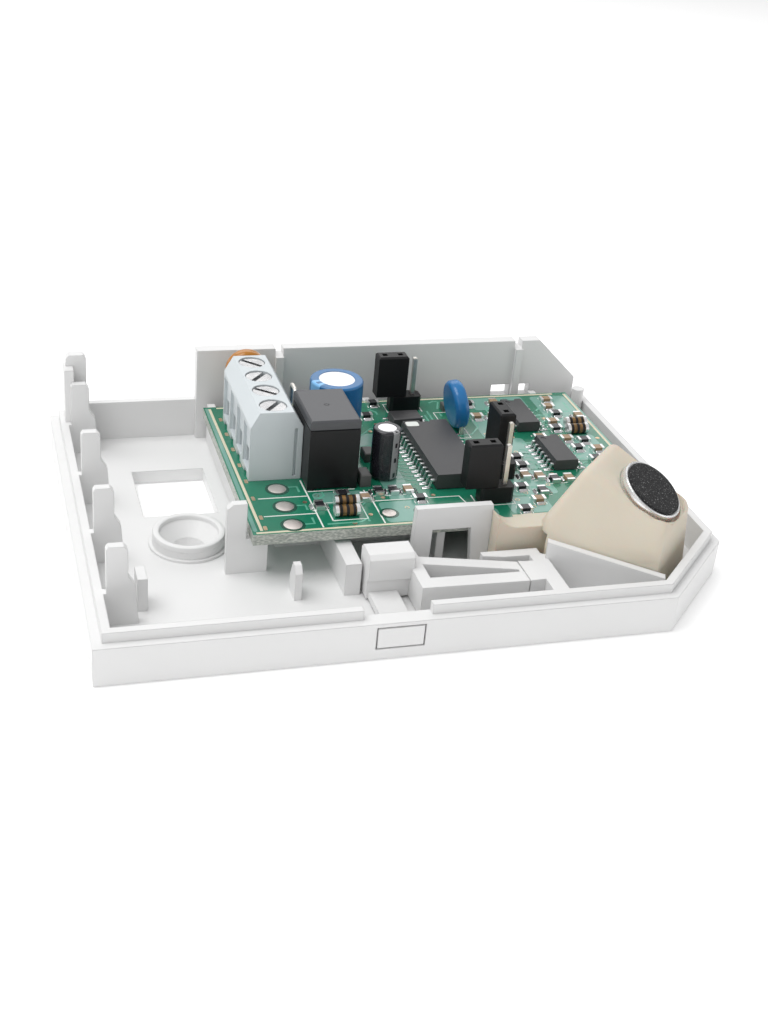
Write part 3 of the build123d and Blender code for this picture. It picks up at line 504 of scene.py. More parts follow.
def speckle(name, fleckColour, scale, low):
    # pale fibre ends scattered over a dark skin
    tree = skins[name].node_tree
    shader = tree.nodes["Principled BSDF"]
    under = shader.inputs["Base Color"].links[0].from_socket
    flecks = remap(tree, noise(tree, objectPlace(tree), scale, Detail=1), (low, low + 0.05))
    feed(tree, shader, "Base Color", blendColours(tree, flecks, under, fleckColour))


speckle("feltGrey", (0.22, 0.22, 0.22), 5200, 0.64)
print("coloured parts done")

# circuit board laminate
boardLook = {"mask": (0.008, 0.155, 0.085), "maskShade": (0.012, 0.20, 0.115), "cloudScale": 260,
             "edgePale": (0.54, 0.56, 0.51), "edgeDark": (0.27, 0.30, 0.27), "layerScale": 3600,
             "layerStretch": (0.55, 0.55, 1.6), "layerRange": (0.38, 0.62), "weaveScale": 1500,
             "rough": (0.26, 0.75), "relief": 0.12, "depth": 0.02, "edge": 0}
maskCoat = {"Coat_Weight": 0.35, "Coat_Roughness": 0.12}


def boardMaterial():
    # green mask on the two faces, cut glass layers on the edge
    material, tree, shader = newMaterial("boardLaminate", **maskCoat)
    place = objectPlace(tree)
    mask = blendColours(tree, noise(tree, place, boardLook["cloudScale"]), boardLook["mask"],
                        boardLook["maskShade"])
    layers = noise(tree, stretchPlace(tree, place, boardLook["layerStretch"]), boardLook["layerScale"],
                   Detail=4)
    cutEdge = blendColours(tree, remap(tree, layers, boardLook["layerRange"]), boardLook["edgeDark"],
                           boardLook["edgePale"])
    normal = addNode(tree, "ShaderNodeTexCoord").outputs["Normal"]
    upward = addNode(tree, "ShaderNodeSeparateXYZ", {"Vector": normal}).outputs["Z"]
    side = calculate(tree, "SUBTRACT", remap(tree, upward, (-0.6, -0.4)), remap(tree, upward, (0.4, 0.6)))
    wave = {"Vector": place, "Scale": boardLook["weaveScale"]}
    warp, weft = (addNode(tree, "ShaderNodeTexWave", wave, bands_direction=axis) for axis in "XY")
    weave = calculate(tree, "ADD", warp.outputs["Fac"], weft.outputs["Fac"])
    closeMaterial(tree, shader, blendColours(tree, side, mask, cutEdge),
                  remap(tree, side, wanted=boardLook["rough"]), weave, boardLook)
    return material


coat(["circuit_board"], boardMaterial())

# print on the board, and copper seen through the mask
inkBase = {"grain": 5000, "relief": 0.1, "depth": 0.01}
inkLooks = {
    "printedWhite": {"colour": (0.80, 0.82, 0.78), "shade": (0.72, 0.76, 0.72), "tone": 900,
                     "rough": (0.5, 0.65)},
    "trackUnderMask": {"colour": (0.095, 0.36, 0.25), "shade": (0.12, 0.42, 0.30), "shader": maskCoat},
    "pourUnderMask": {"colour": (0.12, 0.31, 0.245), "shade": (0.17, 0.37, 0.31), "tone": 300,
                      "shader": maskCoat},
    "edgeCream": {"colour": (0.72, 0.66, 0.50), "shade": (0.62, 0.56, 0.42), "tone": 900,
                  "rough": (0.35, 0.5), "relief": 0.15},
    "clearanceMask": {"colour": (0.004, 0.060, 0.036), "shade": (0.006, 0.085, 0.050), "shader": maskCoat},
}
for inkName, look in inkLooks.items():
    skins[inkName] = skinMaterial(inkName, {**inkBase, **look})
print("board laminate and inks done")

# capacitor sleeves
sleeveLooks = {
    "electrolytic_sleeve": {"name": "sleeveBlue", "centre": (40.6, 44.6), "colour": (0.006, 0.105, 0.27),
                            "stripe": (0.20, 0.48, 0.80), "turn": 200, "width": 0.045, "rough": 0.26},
    "small_capacitor_sleeve": {"name": "sleeveBlack", "centre": (45.1, 32.3),
                               "colour": (0.012, 0.012, 0.016), "stripe": (0.30, 0.30, 0.31),
                               "turn": 300, "width": 0.05, "rough": 0.2},
}
sleeveBase = {"dashPitch": 2.4, "dashShare": 0.3, "dashWidth": 0.35, "relief": 0.2, "depth": 0.05, "edge": 0}


def sleeveMaterial(look):
    # a shrunk sleeve with a polarity stripe broken by short dashes
    material, tree, shader = newMaterial(look["name"], Coat_Weight=0.25, Coat_Roughness=0.1)
    place = objectPlace(tree)
    centre, turn = spot(*look["centre"], 0), (0, 0, radians(look["turn"]))
    turned = addNode(tree, "ShaderNodeMapping", {"Vector": place, "Location": centre, "Rotation": turn},
                     vector_type="TEXTURE")
    around = addNode(tree, "ShaderNodeTexGradient", {"Vector": turned.outputs["Vector"]},
                     gradient_type="RADIAL")
    distance = calculate(tree, "ABSOLUTE", calculate(tree, "SUBTRACT", around.outputs["Fac"], 0.5))
    height = addNode(tree, "ShaderNodeSeparateXYZ", {"Vector": place}).outputs["Z"]
    along = calculate(tree, "FRACT", calculate(tree, "MULTIPLY", height, 1 / (look["dashPitch"] * mm)))
    core = calculate(tree, "LESS_THAN", distance, look["width"] * look["dashWidth"])
    mark = calculate(tree, "MULTIPLY", calculate(tree, "LESS_THAN", along, look["dashShare"]), core)
    band = calculate(tree, "LESS_THAN", distance, look["width"])
    stripe = calculate(tree, "SUBTRACT", band, mark, use_clamp=True)
    cloud = noise(tree, place, 500)
    tint = blendColours(tree, cloud, look["colour"], [c * 1.5 for c in look["colour"]])
    sheen = remap(tree, cloud, wanted=(look["rough"], look["rough"] + 0.12))
    closeMaterial(tree, shader, blendColours(tree, stripe, tint, look["stripe"]), sheen, cloud, look)
    return material


for nodeName, look in sleeveLooks.items():
    coat([nodeName], sleeveMaterial({**sleeveBase, **look}))
print("capacitor sleeves done")

# printed lines, tracks and pours on the board
printedLines = {
    "width": 0.22, "height": 0.03, "lift": 0.015, "ink": "printedWhite",
    "routes": [
        [(32.7, 32.4), (32.85, 18.8)], [(25.6, 27.7), (32.7, 27.7)], [(25.4, 22.7), (32.75, 22.7)],
        [(33.0, 28.95), (39.9, 28.95)], [(41.5, 27.6), (41.6, 18.8)],
        [(41.9, 25.1), (54.4, 25.0), (54.9, 22.4)],
        [(56.2, 24.95), (56.2, 21.75), (61.9, 21.75), (61.9, 24.95)],
        [(51.9, 53.0), (51.9, 56.2), (57.6, 56.2), (57.6, 53.0)],
        [(61.7, 28.6), (61.7, 29.0)], [(64.9, 28.6), (64.9, 34.3), (61.7, 34.3)],
        [(59.3, 42.9), (62.5, 42.9), (62.5, 52.3), (59.3, 52.3), (59.3, 42.9)],
        [(34.6, 20.4), (39.6, 20.4), (39.6, 25.4), (34.6, 25.4), (34.6, 20.4)],
        [(27.0, 54.4), (31.5, 54.4), (31.5, 57.2), (27.0, 57.2), (27.0, 54.4)],
        [(41.1, 26.4), (41.1, 28.4)], [(76.0, 32.6), (76.0, 39.0)],
    ],
}
creamLines = {
    "width": 0.42, "height": 0.04, "lift": 0.01, "ink": "edgeCream",
    "routes": [
        [(23.9, 57.2), (24.35, 19.0)], [(23.5, 18.45), (57.4, 18.45)], [(60.2, 18.45), (67.5, 18.45)],
        [(84.0, 36.2), (84.0, 57.2)], [(25.0, 57.4), (82.0, 57.4)],
    ],
}
trackRoutes = {
    "width": 0.34, "height": 0.035, "lift": 0.012, "ink": "trackUnderMask",
    "routes": [
        [(59.6, 55.9), (60.6, 56.6), (61.3, 56.2), (60.4, 53.6)], [(60.3, 50.9), (60.3, 52.0)],
        [(64.2, 51.6), (65.0, 49.6), (65.0, 46.6), (63.0, 44.1), (60.4, 43.8)],
        [(42.6, 40.6), (44.0, 42.0), (46.6, 42.0)], [(42.6, 39.4), (44.4, 41.0), (46.9, 41.0)],
        [(26.6, 53.6), (26.6, 55.4), (27.4, 56.2)], [(45.0, 35.9), (45.0, 37.0)],
        [(30.2, 30.6), (31.8, 30.6), (31.8, 29.0)], [(30.2, 25.2), (31.8, 25.2), (31.8, 23.8)],
        [(30.2, 20.0), (31.9, 20.0), (31.9, 21.6)], [(33.6, 26.2), (35.0, 27.4), (35.0, 28.6)],
        [(36.2, 24.6), (36.2, 26.0), (38.0, 28.0)], [(39.6, 19.6), (39.6, 24.0), (40.4, 24.9)],
        [(33.6, 19.6), (38.4, 19.6), (39.4, 20.4)], [(43.6, 46.0), (46.4, 48.8), (46.4, 50.6)],
        [(44.6, 44.8), (47.6, 47.8), (50.4, 47.8)], [(56.2, 47.4), (57.6, 48.8), (57.6, 51.6)],
        [(56.8, 46.6), (58.4, 48.2), (58.4, 53.0)], [(49.4, 46.6), (51.2, 48.4), (53.2, 48.4)],
        [(62.9, 24.2), (64.2, 24.2), (65.2, 23.2)], [(66.0, 26.2), (68.4, 26.2), (69.6, 25.0)],
        [(69.4, 31.0), (69.4, 33.4), (68.4, 34.4)], [(68.6, 36.6), (69.8, 36.6), (70.4, 36.0)],
        [(77.0, 31.9), (78.2, 31.9), (78.8, 32.6)], [(76.9, 35.7), (77.2, 36.4), (77.2, 37.0)],
        [(80.4, 41.0), (80.4, 42.0)], [(76.1, 45.8), (76.8, 45.2), (76.8, 44.6)],
        [(76.2, 49.6), (78.2, 49.6)], [(76.2, 50.9), (77.6, 52.2)],
        [(81.0, 50.6), (82.6, 50.6), (82.6, 54.0)],
        [(70.0, 40.2), (72.0, 40.2), (72.6, 40.8)], [(66.9, 45.0), (68.9, 45.0)],
        [(66.6, 47.2), (67.6, 46.2), (69.3, 46.2)], [(68.4, 51.4), (68.4, 53.0), (69.6, 53.4)],
        [(63.0, 56.0), (65.0, 56.0)], [(49.0, 54.6), (50.0, 53.6), (50.0, 52.6)],
    ],
}


def bundle(start, count, run, jog, tail):
    # parallel tracks that leave a row of leads, jog at 45 degrees and run on
    routes = []
    for index in range(count):
        x, y = start[0], start[1] + 1.27 * index
        side = y + abs(jog)
        routes.append([(x, y), (x + run, y), (x + run + jog, side), (x + run + jog + tail, side)])
    return routes


busRoutes = {
    "width": 0.28, "height": 0.035, "lift": 0.012, "ink": "trackUnderMask",
    "routes": (bundle((49.9, 29.2), 12, -1.2, -0.5, -1.6) + bundle((60.6, 29.2), 9, 0.3, 0.4, 0.4)
               + bundle((70.3, 31.2), 6, -0.5, -0.4, -0.7) + bundle((76.6, 31.2), 6, 0.4, 0.4, 0.6)
               + bundle((69.3, 44.4), 6, -0.5, -0.4, -0.6) + bundle((75.6, 44.4), 6, 0.4, 0.4, 0.5)),
}


chipBlocks = looseBlocks("chip_resistors") + looseBlocks("chip_capacitors")


def chipOutlines():
    # two printed lines along the long sides of every chip, past its ends
    aside, past = 0.32, 0.55
    routes = []
    for low, high in chipBlocks:
        if high.x - low.x < high.y - low.y:
            ends = (low.y - past, high.y + past)
            routes += [[(x, y) for y in ends] for x in (low.x - aside, high.x + aside)]
        else:
            ends = (low.x - past, high.x + past)
            routes += [[(x, y) for x in ends] for y in (low.y - aside, high.y + aside)]
    return routes


outlineLook = {"width": 0.16, "height": 0.03, "lift": 0.016, "ink": "printedWhite",
               "routes": chipOutlines()}
linePieces = {"chip_outlines": outlineLook, "printed_lines": printedLines, "edge_lines": creamLines,
              "board_tracks": trackRoutes, "lead_tracks": busRoutes}
for lineName, look in linePieces.items():
    dress(lineWork(lineName, look), skins[look["ink"]])
print("printed lines and tracks done")

# copper areas under the mask: plan boxes with softened corners
pourAreas = {"thickness": 0.02, "corner": 0.7, "places": [
    (42.1, 18.9, 49.4, 24.6), (49.6, 18.9, 58.6, 21.0), (60.6, 18.9, 67.0, 23.6), (44.2, 24.9, 47.9, 46.0),
    (62.4, 23.9, 69.6, 31.4), (23.2, 18.9, 23.75, 57.4), (66.0, 31.7, 70.6, 42.0), (76.8, 33.6, 82.6, 42.0),
    (77.4, 44.6, 83.6, 56.6), (64.6, 42.6, 69.4, 50.0), (42.0, 49.6, 46.6, 56.6), (33.4, 25.0, 40.9, 28.4),
    (84.2, 34.5, 84.5, 57.4), (66.6, 52.4, 76.0, 56.9), (33.4, 52.6, 39.6, 56.9),
]}


def copperAreas():
    areas = []
    for left, front, right, back in pourAreas["places"]:
        top = boardTop + pourAreas["thickness"]
        area = startBox("copper_area", (left, front, boardTop), (right, back, top))
        softCorners(area, min(pourAreas["corner"], (right - left) * 0.4), 4)
        areas.append(area)
    return finishShape(joinAll(areas, "copper_areas"))


dress(copperAreas(), skins["pourUnderMask"])
print("copper areas done")

# solder at the chip ends and the leads
filletLook = {"reach": 0.42, "lift": 0.34, "foot": 0.05, "width": 1.3, "soft": 0.14, "fromMiddle": 1.0}
leadPadLook = {"size": (1.5, 0.62, 0.06), "rim": 0.1, "rise": 0.06, "heel": 0.25}


def solderFillet():
    # a lump that rises against a chip's end: modelled at the origin, pointing along +X
    reach, lift = filletLook["reach"], filletLook["lift"]
    least = 0.1 * mm
    lump = boxAt((reach / 2 * mm, 0, lift / 2 * mm), (reach, filletLook["width"], lift))
    pick(lump, "VERT", lambda vert: vert.co.x > reach * 0.9 * mm and vert.co.z > least)
    bpy.ops.transform.translate(value=(0, 0, (filletLook["foot"] - lift) * mm))

    def runsDown(edge):
        here, there = (vert.co for vert in edge.verts)
        level = abs(here.y - there.y) < 1e-7
        return level and middleOf(edge).z > least and abs(here.x - there.x) > least

    roundEdges(lump, filletLook["soft"], 2, runsDown)
    return finishShape(lump, 60)


def chipSolder():
    places = []
    reach = filletLook["fromMiddle"]
    for low, high in chipBlocks:
        centre = (low + high) / 2
        if high.x - low.x < high.y - low.y:
            turns = ((0, reach, 90), (0, -reach, 270))
        else:
            turns = ((reach, 0, 0), (-reach, 0, 180))
        places += [turnedPlace(centre.x + dx, centre.y + dy, boardTop, turn) for dx, dy, turn in turns]
    return stampCopies(solderFillet(), places, "chip_solder")


def leadPads():
    # a tinned pad with a soft rim under every lead of the integrated circuits
    pad = boxAt((0, 0, leadPadLook["size"][2] / 2 * mm), leadPadLook["size"])
    pick(pad, "FACE", lambda face: face.normal.z > 0.9)
    bpy.ops.mesh.inset(thickness=leadPadLook["rim"] * mm)
    bpy.ops.transform.translate(value=(0, 0, leadPadLook["rise"] * mm))
    finishShape(pad, 60)
    places = []
    bodies = looseBlocks("wide_ic_body") + looseBlocks("narrow_ic_bodies")
    for low, high in looseBlocks("wide_ic_leads") + looseBlocks("narrow_ic_leads"):
        centre = (low + high) / 2
        nearest = min(bodies, key=lambda b: (((b[0] + b[1]) / 2) - centre).length)
        outward = 1 if centre.x > (nearest[0].x + nearest[1].x) / 2 else -1
        toEnd = outward * ((high - low).x / 2 - leadPadLook["heel"])
        places.append(turnedPlace(centre.x + toEnd, centre.y, boardTop, 0))
    return stampCopies(pad, places, "lead_pads")


dress(chipSolder(), metals["brightSolder"])
dress(leadPads(), metals["brightSolder"])
print("solder done")

# plated holes between the parts
viaPlaces = [(40.2, 21.4), (43.3, 25.9), (48.6, 25.9), (50.7, 25.7), (59.2, 25.2), (62.6, 22.8), (64.6, 24.6),
             (68.9, 26.6), (70.9, 29.9), (67.9, 37.4), (64.6, 37.2), (65.3, 43.9), (69.2, 42.4), (77.2, 42.0),
             (76.9, 48.4), (80.8, 47.6), (81.6, 34.9), (83.0, 40.6), (74.0, 54.4), (63.6, 56.4), (57.8, 46.2),
             (48.8, 49.2), (47.2, 46.8), (44.2, 48.4), (42.6, 52.6), (34.6, 54.0), (31.9, 26.0), (34.0, 27.6),
             (39.9, 26.9), (37.4, 19.3), (45.9, 22.7), (50.2, 19.8), (55.9, 19.6), (64.3, 20.6)]


def platedHoles():
    ring = discStack("plated_hole", 16, 0.34, (0, 0, 0.02 * mm), 0.03, [(0.16, -0.025)], 40)
    return stampCopies(ring, [turnedPlace(x, y, boardTop - 0.015, 0) for x, y in viaPlaces], "plated_holes")


dress(platedHoles(), metals["bareCopper"])

# small bare copper tabs beside the terminal row
tabLook = {"size": (0.5, 1.1, 0.04), "corner": 0.15, "column": 24.95,
           "rows": (19.6, 22.5, 27.9, 33.0, 38.0, 43.1, 48.2, 53.3)}


def copperTabs():
    tab = boxAt((0, 0, tabLook["size"][2] / 2 * mm), tabLook["size"])
    softCorners(tab, tabLook["corner"], 3)
    finishShape(tab)
    places = [turnedPlace(tabLook["column"], y, boardTop, 0) for y in tabLook["rows"]]
    return stampCopies(tab, places, "copper_tabs")


dress(copperTabs(), metals["bareCopper"])
print("plated holes and tabs done")

# filled terminal holes and bare test pads, each in a dark clearance ring
padLook = {"places": [(28.85, 20.0, 1.3), (28.85, 25.1, 1.3), (28.85, 30.2, 1.3), (42.9, 21.4, 0.98),
                      (47.9, 21.4, 0.98), (53.0, 21.4, 0.98)],
           "sides": 28, "lift": 0.065, "height": 0.02, "dome": 0.10, "shares": (0.18, 0.3)}
ringLook = {"clearance": 0.42, "lift": 0.001, "height": 0.035, "rim": 0.1}


def domedPads():
    pads = []
    for x, y, radius in padLook["places"]:
        steps = [(radius * share, padLook["dome"] / 2) for share in padLook["shares"]]
        centre = spot(x, y, boardTop + padLook["lift"])
        pads.append(discStack("pad_fill", padLook["sides"], radius, centre, padLook["height"], steps, 60))
    return joinAll(pads, "pad_fills")


def clearanceRings():
    rings = []
    for x, y, radius in padLook["places"]:
        centre = spot(x, y, boardTop + ringLook["lift"])
        rings.append(discStack("clearance_ring", padLook["sides"], radius + ringLook["clearance"], centre,
                               ringLook["height"], [(ringLook["rim"], 0)], 40))
    return joinAll(rings, "clearance_rings")


dress(domedPads(), metals["padTin"])
dress(clearanceRings(), skins["clearanceMask"])
print("pads done")


def spunRing(name, profile, place, steps=64):
    # a closed profile in X and Z spun round Z at the origin, then set in place
    clearSelection()
    bpy.ops.mesh.primitive_circle_add(vertices=len(profile), radius=mm, location=(0, 0, 0))
    ring = bpy.context.object
    ring.name = name
    bpy.ops.object.mode_set(mode="EDIT")
    shape = bmesh.from_edit_mesh(ring.data)
    shape.verts.ensure_lookup_table()
    for vert, (x, z) in zip(shape.verts, profile):
        vert.co = (x * mm, 0, z * mm)
    bmesh.update_edit_mesh(ring.data)
    bpy.ops.mesh.select_all(action="SELECT")
    bpy.ops.mesh.spin(steps=steps, angle=2 * pi, center=(0, 0, 0), axis=(0, 0, 1))
    bpy.ops.mesh.select_all(action="SELECT")
    bpy.ops.mesh.remove_doubles(threshold=1e-7)
    turnFacesOut()
    endEdit()
    ring.matrix_world = place
    return finishShape(ring, 40)


# rounded rim of the screw boss
rimLook = {"centre": (16.2, 28.8), "outer": 5.1, "inner": 4.12, "low": 3.3, "top": 4.15, "round": 0.28}


def bossRim():
    outer, inner, low, top, soft = (rimLook[key] for key in ("outer", "inner", "low", "top", "round"))
    near = soft * 0.3
    profile = [(inner, low), (outer, low), (outer, top - soft), (outer - near, top - near),
               (outer - soft, top), (inner + soft, top), (inner + near, top - near), (inner, top - soft)]
    return spunRing("boss_rim", profile, Matrix.Translation(spot(*rimLook["centre"], 0)))


dress(bossRim(), skins["trayPlastic"])

# rolled edge of the microphone's can
canLook = {"face": (78.8, 13.8, 14.5), "tilt": 32.0, "outer": 4.88, "inner": 4.44, "drop": 0.9,
           "proud": 0.06}
feltLook = {"radius": 4.40, "height": 0.28, "nap": 0.10, "steps": ((0.06, 0.6), (0.12, 0.3), (0.6, 0.1))}


def micPlace():
    # +Z along the capsule's axis, origin at the middle of its face
    return turnedPlace(*canLook["face"], -45) @ Matrix.Rotation(radians(canLook["tilt"]), 4, "Y")


def rolledEdge():
    outer, inner, drop, proud = (canLook[key] for key in ("outer", "inner", "drop", "proud"))
    profile = [(outer - 0.12, -drop), (outer, -drop), (outer, -0.32), (outer - 0.04, -0.12),
               (outer - 0.14, proud), (outer - 0.24, proud + 0.03), (inner + 0.06, proud), (inner, -0.04),
               (inner, -0.2), (outer - 0.3, -0.3)]
    return spunRing("rolled_edge", profile, micPlace(), 72)


def feltPad():
    # a disc with a softly worn shoulder, pressed into the rolled edge
    steps = [(inward, feltLook["nap"] * rise) for inward, rise in feltLook["steps"]]
    pad = discStack("felt_pad", 72, feltLook["radius"], (0, 0, 0), feltLook["height"], steps, 40)
    pad.matrix_world = micPlace()
    return finishShape(pad, 40)


dress(rolledEdge(), metals["canAluminium"])
felt = dress(feltPad(), skins["feltGrey"])
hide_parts("mic_felt")
print("boss rim, rolled edge and felt done")

# rubber boot: the same wedge as the solid, softer and trimmed beside its tongue
# back, ridge, brow and front: distance across the boot and height, from the board to the rib
bootLook = {
    "back": (33.51, 9.05), "ridge": (37.56, 17.7), "brow": (50.31, 12.0), "front": (51.21, 2.0),
    "sides": [((70.8 * 2 ** 0.5, 0, 0), (1, 1, 0)), ((69.2, 15.4, 17.7), (-0.386, -0.746, 0.543)),
              ((62.74, 11.4, 0), (-0.411, -0.912, 0)), ((62.9, 0, 0), (-1, 0, 0))],
    "block": ((56, 2, 2.0), (92, 44, 19)), "boardStep": ((20, 30, -1), (35.71, 90, 9.05)),
    "tongue": ((56.3, 14.0, 2.0), (67.5, 16.6, 11.4)), "tongueBack": ((57.1, 15.6, 2.0), (67.5, 17.6, 11.4)),
    "tongueTop": ((59.6, 12, 9.7), (69, 20, 13)), "wires": ((34.51, 63.68, 8.5), (45.01, 67.28, 10.35)),
    "hollow": (59.6, 16, 13.7), "round": 1.2, "tongueRound": 0.7,
    # seat, pocket, can and well of the capsule: radius, low and high along its axis
    "bores": [(5.8, -0.45, 6), (5.35, -1.2, 6), (4.87, -4.5, 1), (2.4, -5.3, -4)],
}


def cutAway(obj, point, normal):
    # everything on the normal's side of the plane goes, and the cut is closed
    editAll()
    bpy.ops.mesh.bisect(plane_co=spot(*point), plane_no=normal, use_fill=True, clear_outer=True)
    endEdit()


def closeShell(obj):
    # doubles merged and faces turned outwards
    makeActive(obj)
    editAll()
    bpy.ops.mesh.remove_doubles(threshold=2e-6)
    turnFacesOut()
    endEdit()


def combine(obj, other, operation="DIFFERENCE"):
    closeShell(obj)
    closeShell(other)
    makeActive(obj)
    step = obj.modifiers.new("combine", "BOOLEAN")
    step.operation = operation
    step.object = other
    step.solver = "EXACT"
    bpy.ops.object.modifier_apply(modifier="combine")
    bpy.data.objects.remove(other)


def wedgePoint(u, z):
    # u runs square to the cut corner, across the boot
    return (u * 2 ** 0.5, 0, z)


def slope(here, there):
    # outward normal of the plane between two points of the section across the boot
    du, dz = there[0] - here[0], there[1] - here[1]
    return (Vector((1, -1, 0)).normalized() * -dz + Vector((0, 0, 1)) * du).normalized()


def turnedBox(name, low, high):
    # a box whose sides run across the boot and along the cut corner
    clearSelection()
    bpy.ops.mesh.primitive_cube_add(size=1, location=(0, 0, 0))
    box = bpy.context.object
    box.name = name
    u, v, z = [(a + b) / 2 for a, b in zip(low, high)]
    place = turnedPlace((u + v) / 2 ** 0.5, (v - u) / 2 ** 0.5, z, -45)
    box.matrix_world = place @ Matrix.Diagonal([(b - a) * mm for a, b in zip(low, high)] + [1])
    applyPlace()
    return box


def roundTool(radius, low, high, place):
    # a cylinder between two heights on the placed Z axis
    clearSelection()
    bpy.ops.mesh.primitive_cylinder_add(vertices=72, radius=radius * mm, depth=(high - low) * mm)
    tool = bpy.context.object
    tool.matrix_world = place @ Matrix.Translation((0, 0, (low + high) / 2 * mm))
    applyPlace()
    return tool


def bootWedge():
    wedge = startBox("soft_boot", *bootLook["block"])
    section = [bootLook[key] for key in ("back", "ridge", "brow", "front")]
    for here, there in zip(section, section[1:]):
        cutAway(wedge, wedgePoint(*here), slope(here, there))
    for point, normal in bootLook["sides"]:
        cutAway(wedge, point, normal)
    roundEdges(wedge, bootLook["round"], 5, lambda edge: middleOf(edge).z > 6 * mm
               and edge.calc_length() > 2.5 * mm and edge.calc_face_angle(0) > 0.25, clamp=True)
    combine(wedge, turnedBox("board_step", *bootLook["boardStep"]))
    return wedge


def bootTongue():
    # a flat tongue with a diagonal back and a hollow in its top
    tongue = startBox("tongue", *bootLook["tongue"])
    behind = startBox("tongue_back", *bootLook["tongueBack"])
    cutAway(behind, (57.1, 16.3, 0), (-0.3, 1, 0))
    combine(tongue, behind, "UNION")
    across = Matrix.Translation(spot(*bootLook["hollow"])) @ Matrix.Rotation(radians(90), 4, "X")
    combine(tongue, roundTool(4.0, -4, 4, across))
    combine(tongue, startBox("tongue_top", *bootLook["tongueTop"]))
    closeShell(tongue)
    roundEdges(tongue, bootLook["tongueRound"], 4, lambda edge: middleOf(edge).z > 9.4 * mm
               and middleOf(edge).y < (14.2 + trayCorner.y) * mm and edge.calc_face_angle(0) > 0.5,
               clamp=True)
    return tongue


def softBoot():
    wedge = bootWedge()
    combine(wedge, bootTongue(), "UNION")
    for radius, low, high in bootLook["bores"]:
        combine(wedge, roundTool(radius, low, high, micPlace()))
    combine(wedge, turnedBox("wire_passage", *bootLook["wires"]))
    closeShell(wedge)
    return finishShape(wedge, 50)


boot = dress(softBoot(), skins["bootRubber"])
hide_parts("mic_boot")
print("boot done")

# bands on the cylindrical diodes
bandLook = {"radius": 0.82, "width": 0.42, "offsets": (-0.95, 0.0, 0.95), "soft": 0.012}


def diodeBands():
    clearSelection()
    bpy.ops.mesh.primitive_cylinder_add(vertices=32, radius=bandLook["radius"] * mm,
                                        depth=bandLook["width"] * mm)
    band = bpy.context.object
    roundEdges(band, bandLook["soft"], 1, lambda edge: abs(edge.verts[0].co.z - edge.verts[1].co.z) < 1e-7
               and len(edge.link_faces) == 2 and any(len(f.verts) > 4 for f in edge.link_faces))
    finishShape(band)
    places = []
    for low, high in looseBlocks("melf_diodes"):
        centre = (low + high) / 2
        for offset in bandLook["offsets"]:
            place = Matrix.Translation(spot(centre.x + offset, centre.y, centre.z))
            places.append(place @ Matrix.Rotation(radians(90), 4, "Y"))
    return stampCopies(band, places, "diode_bands")


dress(diodeBands(), skins["headerBlack"])

# bare label on the wide circuit
labelLook = {"low": (51.9, 43.1), "high": (53.9, 44.6), "thickness": 0.06, "corner": 0.35}
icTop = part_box("wide_ic_body")[1].z / mm
labelTop = icTop + labelLook["thickness"]
label = startBox("bare_label", (*labelLook["low"], icTop), (*labelLook["high"], labelTop))
softCorners(label, labelLook["corner"], 4)
dress(finishShape(label), skins["printedWhite"])
print("label and bands done")

# low package behind the wide circuit, with three leads a side
packageLook = {"low": (51.2, 47.9, 9.05), "high": (56.2, 51.3, 10.3), "soft": 0.12, "taper": 0.92,
               "leadSize": (0.9, 0.42, 0.24), "leadSoft": 0.06, "leadRows": (48.4, 49.6, 50.8),
               "leadColumns": (50.85, 56.55)}


def rearPackage():
    block = startBox("rear_package", packageLook["low"], packageLook["high"])
    pick(block, "FACE", lambda face: face.normal.z > 0.9)
    bpy.ops.transform.resize(value=(packageLook["taper"], packageLook["taper"], 1))
    upper = (packageLook["high"][2] - 0.1) * mm
    roundEdges(block, packageLook["soft"], 2, lambda edge: middleOf(edge).z > upper)
    return finishShape(block)


def packageLeads():
    lead = boxAt((0, 0, packageLook["leadSize"][2] / 2 * mm), packageLook["leadSize"])
    roundEdges(lead, packageLook["leadSoft"], 2, lambda edge: middleOf(edge).z > 0.2 * mm)
    finishShape(lead, 60)
    places = [turnedPlace(x, y, boardTop, 0) for x in packageLook["leadColumns"]
              for y in packageLook["leadRows"]]
    return stampCopies(lead, places, "rear_package_leads")


dress(rearPackage(), skins["packageBlack"])
dress(packageLeads(), metals["leadTin"])

# raised collar round the vent in the relay's lid
ventLook = {"centre": (36.5, 34.6), "outer": 0.42, "inner": 0.2, "height": 0.05}


def ventCollar():
    outer, inner, height = (ventLook[key] for key in ("outer", "inner", "height"))
    shoulder = height * 0.6
    profile = [(inner, -0.05), (outer, -0.05), (outer, shoulder), (outer - 0.05, height),
               (inner + 0.05, height), (inner, shoulder)]
    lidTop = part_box("relay_lid")[1].z / mm
    place = Matrix.Translation(spot(*ventLook["centre"], lidTop - height))
    return spunRing("vent_collar", profile, place, 32)


dress(ventCollar(), skins["headerBlack"])
print("rear package and vent collar done")

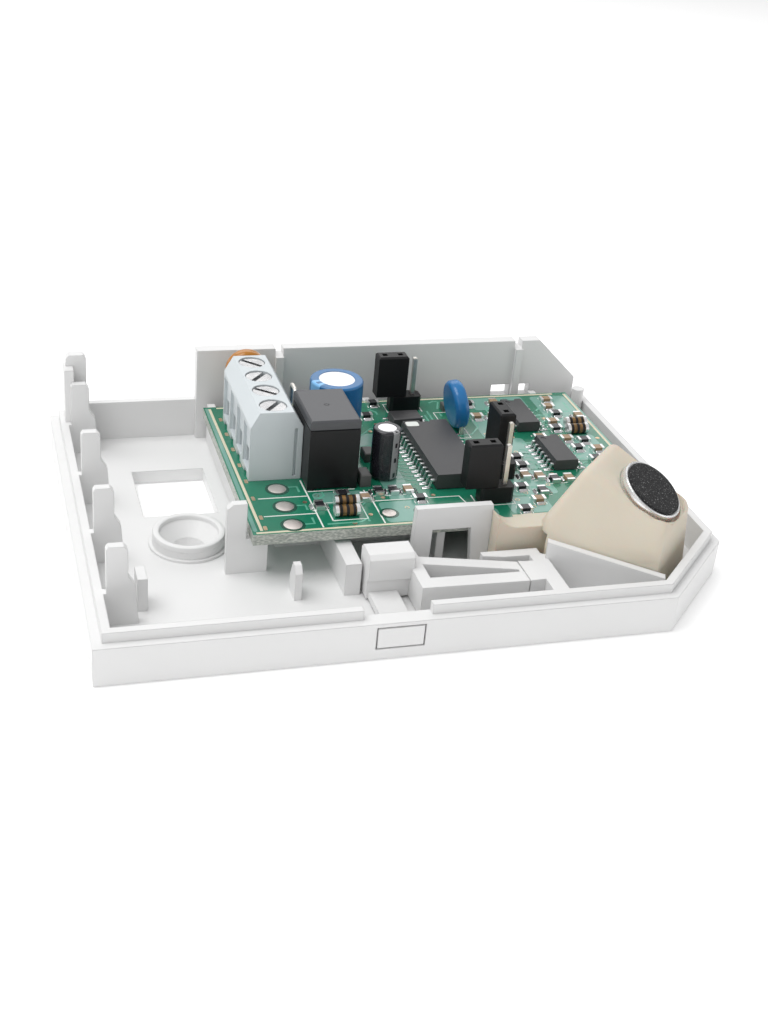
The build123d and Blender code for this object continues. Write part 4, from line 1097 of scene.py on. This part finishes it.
# stage: floor, lights and camera
stageLook = {"floorColour": (0.90, 0.90, 0.90), "floorGlow": 0.24, "skyStrength": 0.59}
lightLooks = {
    "keyLight": {"place": (-0.19, 0.03, 0.45), "size": (0.35, 0.35), "power": 1.5},
    "backLight": {"place": (0.10, 0.45, 0.30), "size": (0.6, 0.25), "power": 0.52},
    "fillLight": {"place": (-0.18, -0.17, 0.15), "size": (0.14, 0.1), "power": 0.06},
    "sideLight": {"place": (0.24, -0.16, 0.05), "size": (0.2, 0.1), "power": 0.07},
}
clearSelection()
bpy.ops.mesh.primitive_plane_add(size=6, location=(0, 0, -0.0002))
floor = bpy.context.object
floor.name = "floor"
floorMaterial = newMaterial("floorPaper", Base_Color=stageLook["floorColour"], Roughness=0.9,
                            Emission_Color=(1, 1, 1), Emission_Strength=stageLook["floorGlow"])[0]
floor.data.materials.append(floorMaterial)

world = bpy.data.worlds.new("softRoom")
bpy.context.scene.world = world
world.use_nodes = True
sky = world.node_tree.nodes["Background"]
feed(world.node_tree, sky, "Color", (1, 1, 1))
feed(world.node_tree, sky, "Strength", stageLook["skyStrength"])


def softLight(name, look):
    clearSelection()
    bpy.ops.object.light_add(type="AREA", location=look["place"])
    lamp = bpy.context.object
    lamp.name = name
    lamp.data.shape = "RECTANGLE"
    lamp.data.size, lamp.data.size_y = look["size"]
    lamp.data.energy = look["power"]
    towards = Vector((0, 0, 0.008)) - Vector(look["place"])
    lamp.rotation_euler = towards.to_track_quat("-Z", "Y").to_euler()


for lampName, look in lightLooks.items():
    softLight(lampName, look)

cameraLook = {"place": (-0.0578407, -0.1717185, 0.1032283), "turn": (60.89958, -4.83041, -16.04383),
              "lens": 49.07}
cameraData = bpy.data.cameras.new("photoCamera")
camera = bpy.data.objects.new("photoCamera", cameraData)
bpy.context.scene.collection.objects.link(camera)
camera.location = cameraLook["place"]
camera.rotation_euler = [radians(a) for a in cameraLook["turn"]]
cameraData.sensor_fit = "VERTICAL"
cameraData.sensor_height = 36
cameraData.lens = cameraLook["lens"]
cameraData.clip_start = 0.005
cameraData.clip_end = 20
bpy.context.scene.camera = camera
bpy.context.scene.view_settings.view_transform = "Standard"
print("stage, lights and camera done")
